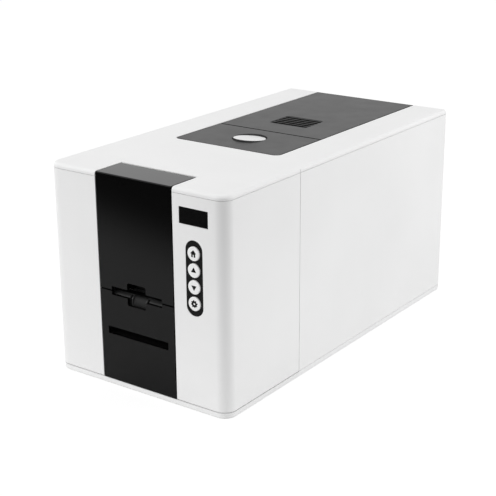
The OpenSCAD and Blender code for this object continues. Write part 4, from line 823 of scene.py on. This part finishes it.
# Tongue with four contacts in the square data port
tongue_size = (0.0057, 0.0108, 0.0033)
contact_size = (0.0009, 0.0086, 0.0004)
contact_pitch = 0.0028
contact_rise = 0.0034
tongue = drawn(bpy.ops.mesh.primitive_cube_add, size=1, scale=tongue_size,
               location=square_port + Vector((0, -0.0083, 0)))
edit(tongue, lambda face: face.normal.y > 0.9)
bpy.ops.mesh.inset(thickness=0.0004)
bpy.ops.transform.translate(value=(0, 0.0004, 0))
finished(tongue, "port_tongue", "root", 0.0002)
dress(rocker_black, tongue)
gold = Finish("gold_contact", (0.83, 0.55, 0.2, 1), 0.25, Metallic=1.0)
worn = gold.noise(900, 2)
gold.set("Base Color", worn.mix((0.6, 0.36, 0.12, 1), (0.86, 0.6, 0.25, 1)))
gold.set("Roughness", 0.2 + 0.2 * worn)
contact = drawn(bpy.ops.mesh.primitive_cube_add, size=1, scale=contact_size,
                location=square_port + Vector((-contact_pitch / 2, -0.008, contact_rise / 2)))
edit(contact, lambda face: face.normal.y > 0.9)
bpy.ops.mesh.extrude_region_move(TRANSFORM_OT_translate={"value": (0, 0.0006, -0.00015)})
below = [(0, 0, -contact_rise), (contact_pitch, 0, -contact_rise)]
contacts = repeated(contact, [(contact_pitch, 0, 0), *below])
finished(contacts, "port_contacts", "root", 0.00008)
dress(gold, contacts)

# Eight sprung wires slope down and inwards over the network port's comb
wire_size = (0.0004, 0.0004, 0.0006)
wire_pitch = 0.001
wire = drawn(bpy.ops.mesh.primitive_cube_add, size=1, scale=wire_size,
             location=network_port + Vector((-3.5 * wire_pitch, -0.0042, 0.0036)))
edit(wire, lambda face: face.normal.y < -0.9)
for step in ((0, -0.003, -0.0016), (0, -0.003, -0.0018), (0, -0.0036, -0.0002)):
    bpy.ops.mesh.extrude_region_move(TRANSFORM_OT_translate={"value": step})
wires = repeated(wire, [(wire_pitch * i, 0, 0) for i in range(1, 8)])
finished(wires, "network_wires", "root")
dress(gold, wires)

# A white bar and ring are printed on the rocker's two faces: on at the top, off at the bottom
top_face = (math.radians(-90.6), 0, 0)
bottom_face = (math.radians(-73.4), 0, 0)
bar_length = 0.0034
ring_radius = 0.0018
ring_stroke = 0.0005
bar = drawn(bpy.ops.mesh.primitive_plane_add, size=bar_length, rotation=top_face,
            location=rocker_middle + Vector((0, 0.00591, 0.0052)))
bpy.ops.transform.resize(value=(0.17, 1, 1))
ring = drawn(bpy.ops.mesh.primitive_circle_add, vertices=40, radius=ring_radius, fill_type="NGON",
             rotation=bottom_face, location=rocker_middle + Vector((0, 0.00711, -0.00334)))
bpy.ops.mesh.inset(thickness=ring_stroke)
bpy.ops.mesh.delete(type="FACE")
marks = joined([bar, ring])
edit(marks)
thickened((0, -0.0002, 0))
finished(marks, "rocker_marks", "rocker")
dress(key_white, marks)


# Screws. Plated steel, with flat round heads and a square-sided cross recess.
# Four hold the connector plate, and four hold the fan under the lid.
def select_rims(wire):
    """Selects the open edges of the faces, and with wire also the edges that have no face."""
    bpy.ops.mesh.select_all(action="DESELECT")
    bpy.ops.mesh.select_non_manifold(extend=False, use_wire=wire, use_boundary=True, use_multi_face=False,
                                     use_non_contiguous=False, use_verts=False)


head_rise = 0.0003
rim_rise = 0.00028
head_chamfer = 0.0002
head_skirt = 0.0006
recess_depth = 0.0007


def screw(place, rotation, radius):
    """A flat round head, slightly crowned, that stands a little out of the surface at a place."""
    grid = drawn(bpy.ops.mesh.primitive_plane_add, size=radius * 1.05, location=(0, 0, head_rise))
    bpy.ops.mesh.subdivide(number_cuts=2)
    rim = drawn(bpy.ops.mesh.primitive_circle_add, vertices=24, radius=radius * 0.9,
                location=(0, 0, rim_rise))
    head = joined([grid, rim])
    edit(head)
    bpy.context.tool_settings.mesh_select_mode = (False, True, False)
    select_rims(True)
    bpy.ops.mesh.bridge_edge_loops()
    select_rims(False)
    bpy.ops.mesh.extrude_region_move(TRANSFORM_OT_translate={"value": (0, 0, -head_chamfer)})
    bpy.ops.transform.resize(value=(1.11, 1.11, 1), center_override=(0, 0, 0))
    bpy.ops.mesh.extrude_region_move(TRANSFORM_OT_translate={"value": (0, 0, -head_skirt)})
    bpy.ops.mesh.edge_face_add()
    # The grid's middle row and middle column are the cross, which narrows to its foot
    recess_half = radius * 0.5
    arm_half = radius * 0.1
    edit(head, lambda face: face.normal.z > 0.9 and
         max(abs(face.center.x), abs(face.center.y)) < recess_half and
         min(abs(face.center.x), abs(face.center.y)) < arm_half)
    bpy.ops.mesh.extrude_region_move(TRANSFORM_OT_translate={"value": (0, 0, -recess_depth)})
    bpy.ops.transform.resize(value=(0.8, 0.8, 1), center_override=(0, 0, 0))
    alone(head)
    bpy.ops.object.transform_apply(location=True, rotation=True, scale=True)
    head.rotation_euler = rotation
    head.location = place
    return head


screw_steel = Finish("screw_steel", grey(150), 0.3, Metallic=1.0)
plated = screw_steel.noise(300, 3)
screw_steel.set("Base Color", plated.mix(grey(128), grey(168)))
screw_steel.set("Roughness", 0.24 + 0.16 * plated)
to_rear = (math.radians(-90), 0, 0)
downwards = (math.radians(180), 0, 0)
plate_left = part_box("io_plate")[0].x
across = 0.135
up = 0.029
plate_screw = screw((plate_left + 0.0075, rear_y - 0.0005, ports_z - up / 2), to_rear, 0.0027)
plate_screws = repeated(plate_screw, [(across, 0, 0), (0, 0, up), (across, 0, up)])
finished(plate_screws, "plate_screws", "root")
dress(screw_steel, plate_screws)
fan_low, fan_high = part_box("fan_frame")
fan_pitch = 0.032
fan_corner = (-fan_pitch / 2, (fan_low.y + fan_high.y) / 2 - fan_pitch / 2, fan_low.z)
fan_screw = screw(fan_corner, downwards, 0.0024)
fan_screws = repeated(fan_screw, [(fan_pitch, 0, 0), (0, fan_pitch, 0), (fan_pitch, fan_pitch, 0)])
finished(fan_screws, "fan_screws", "lid")
dress(screw_steel, fan_screws)
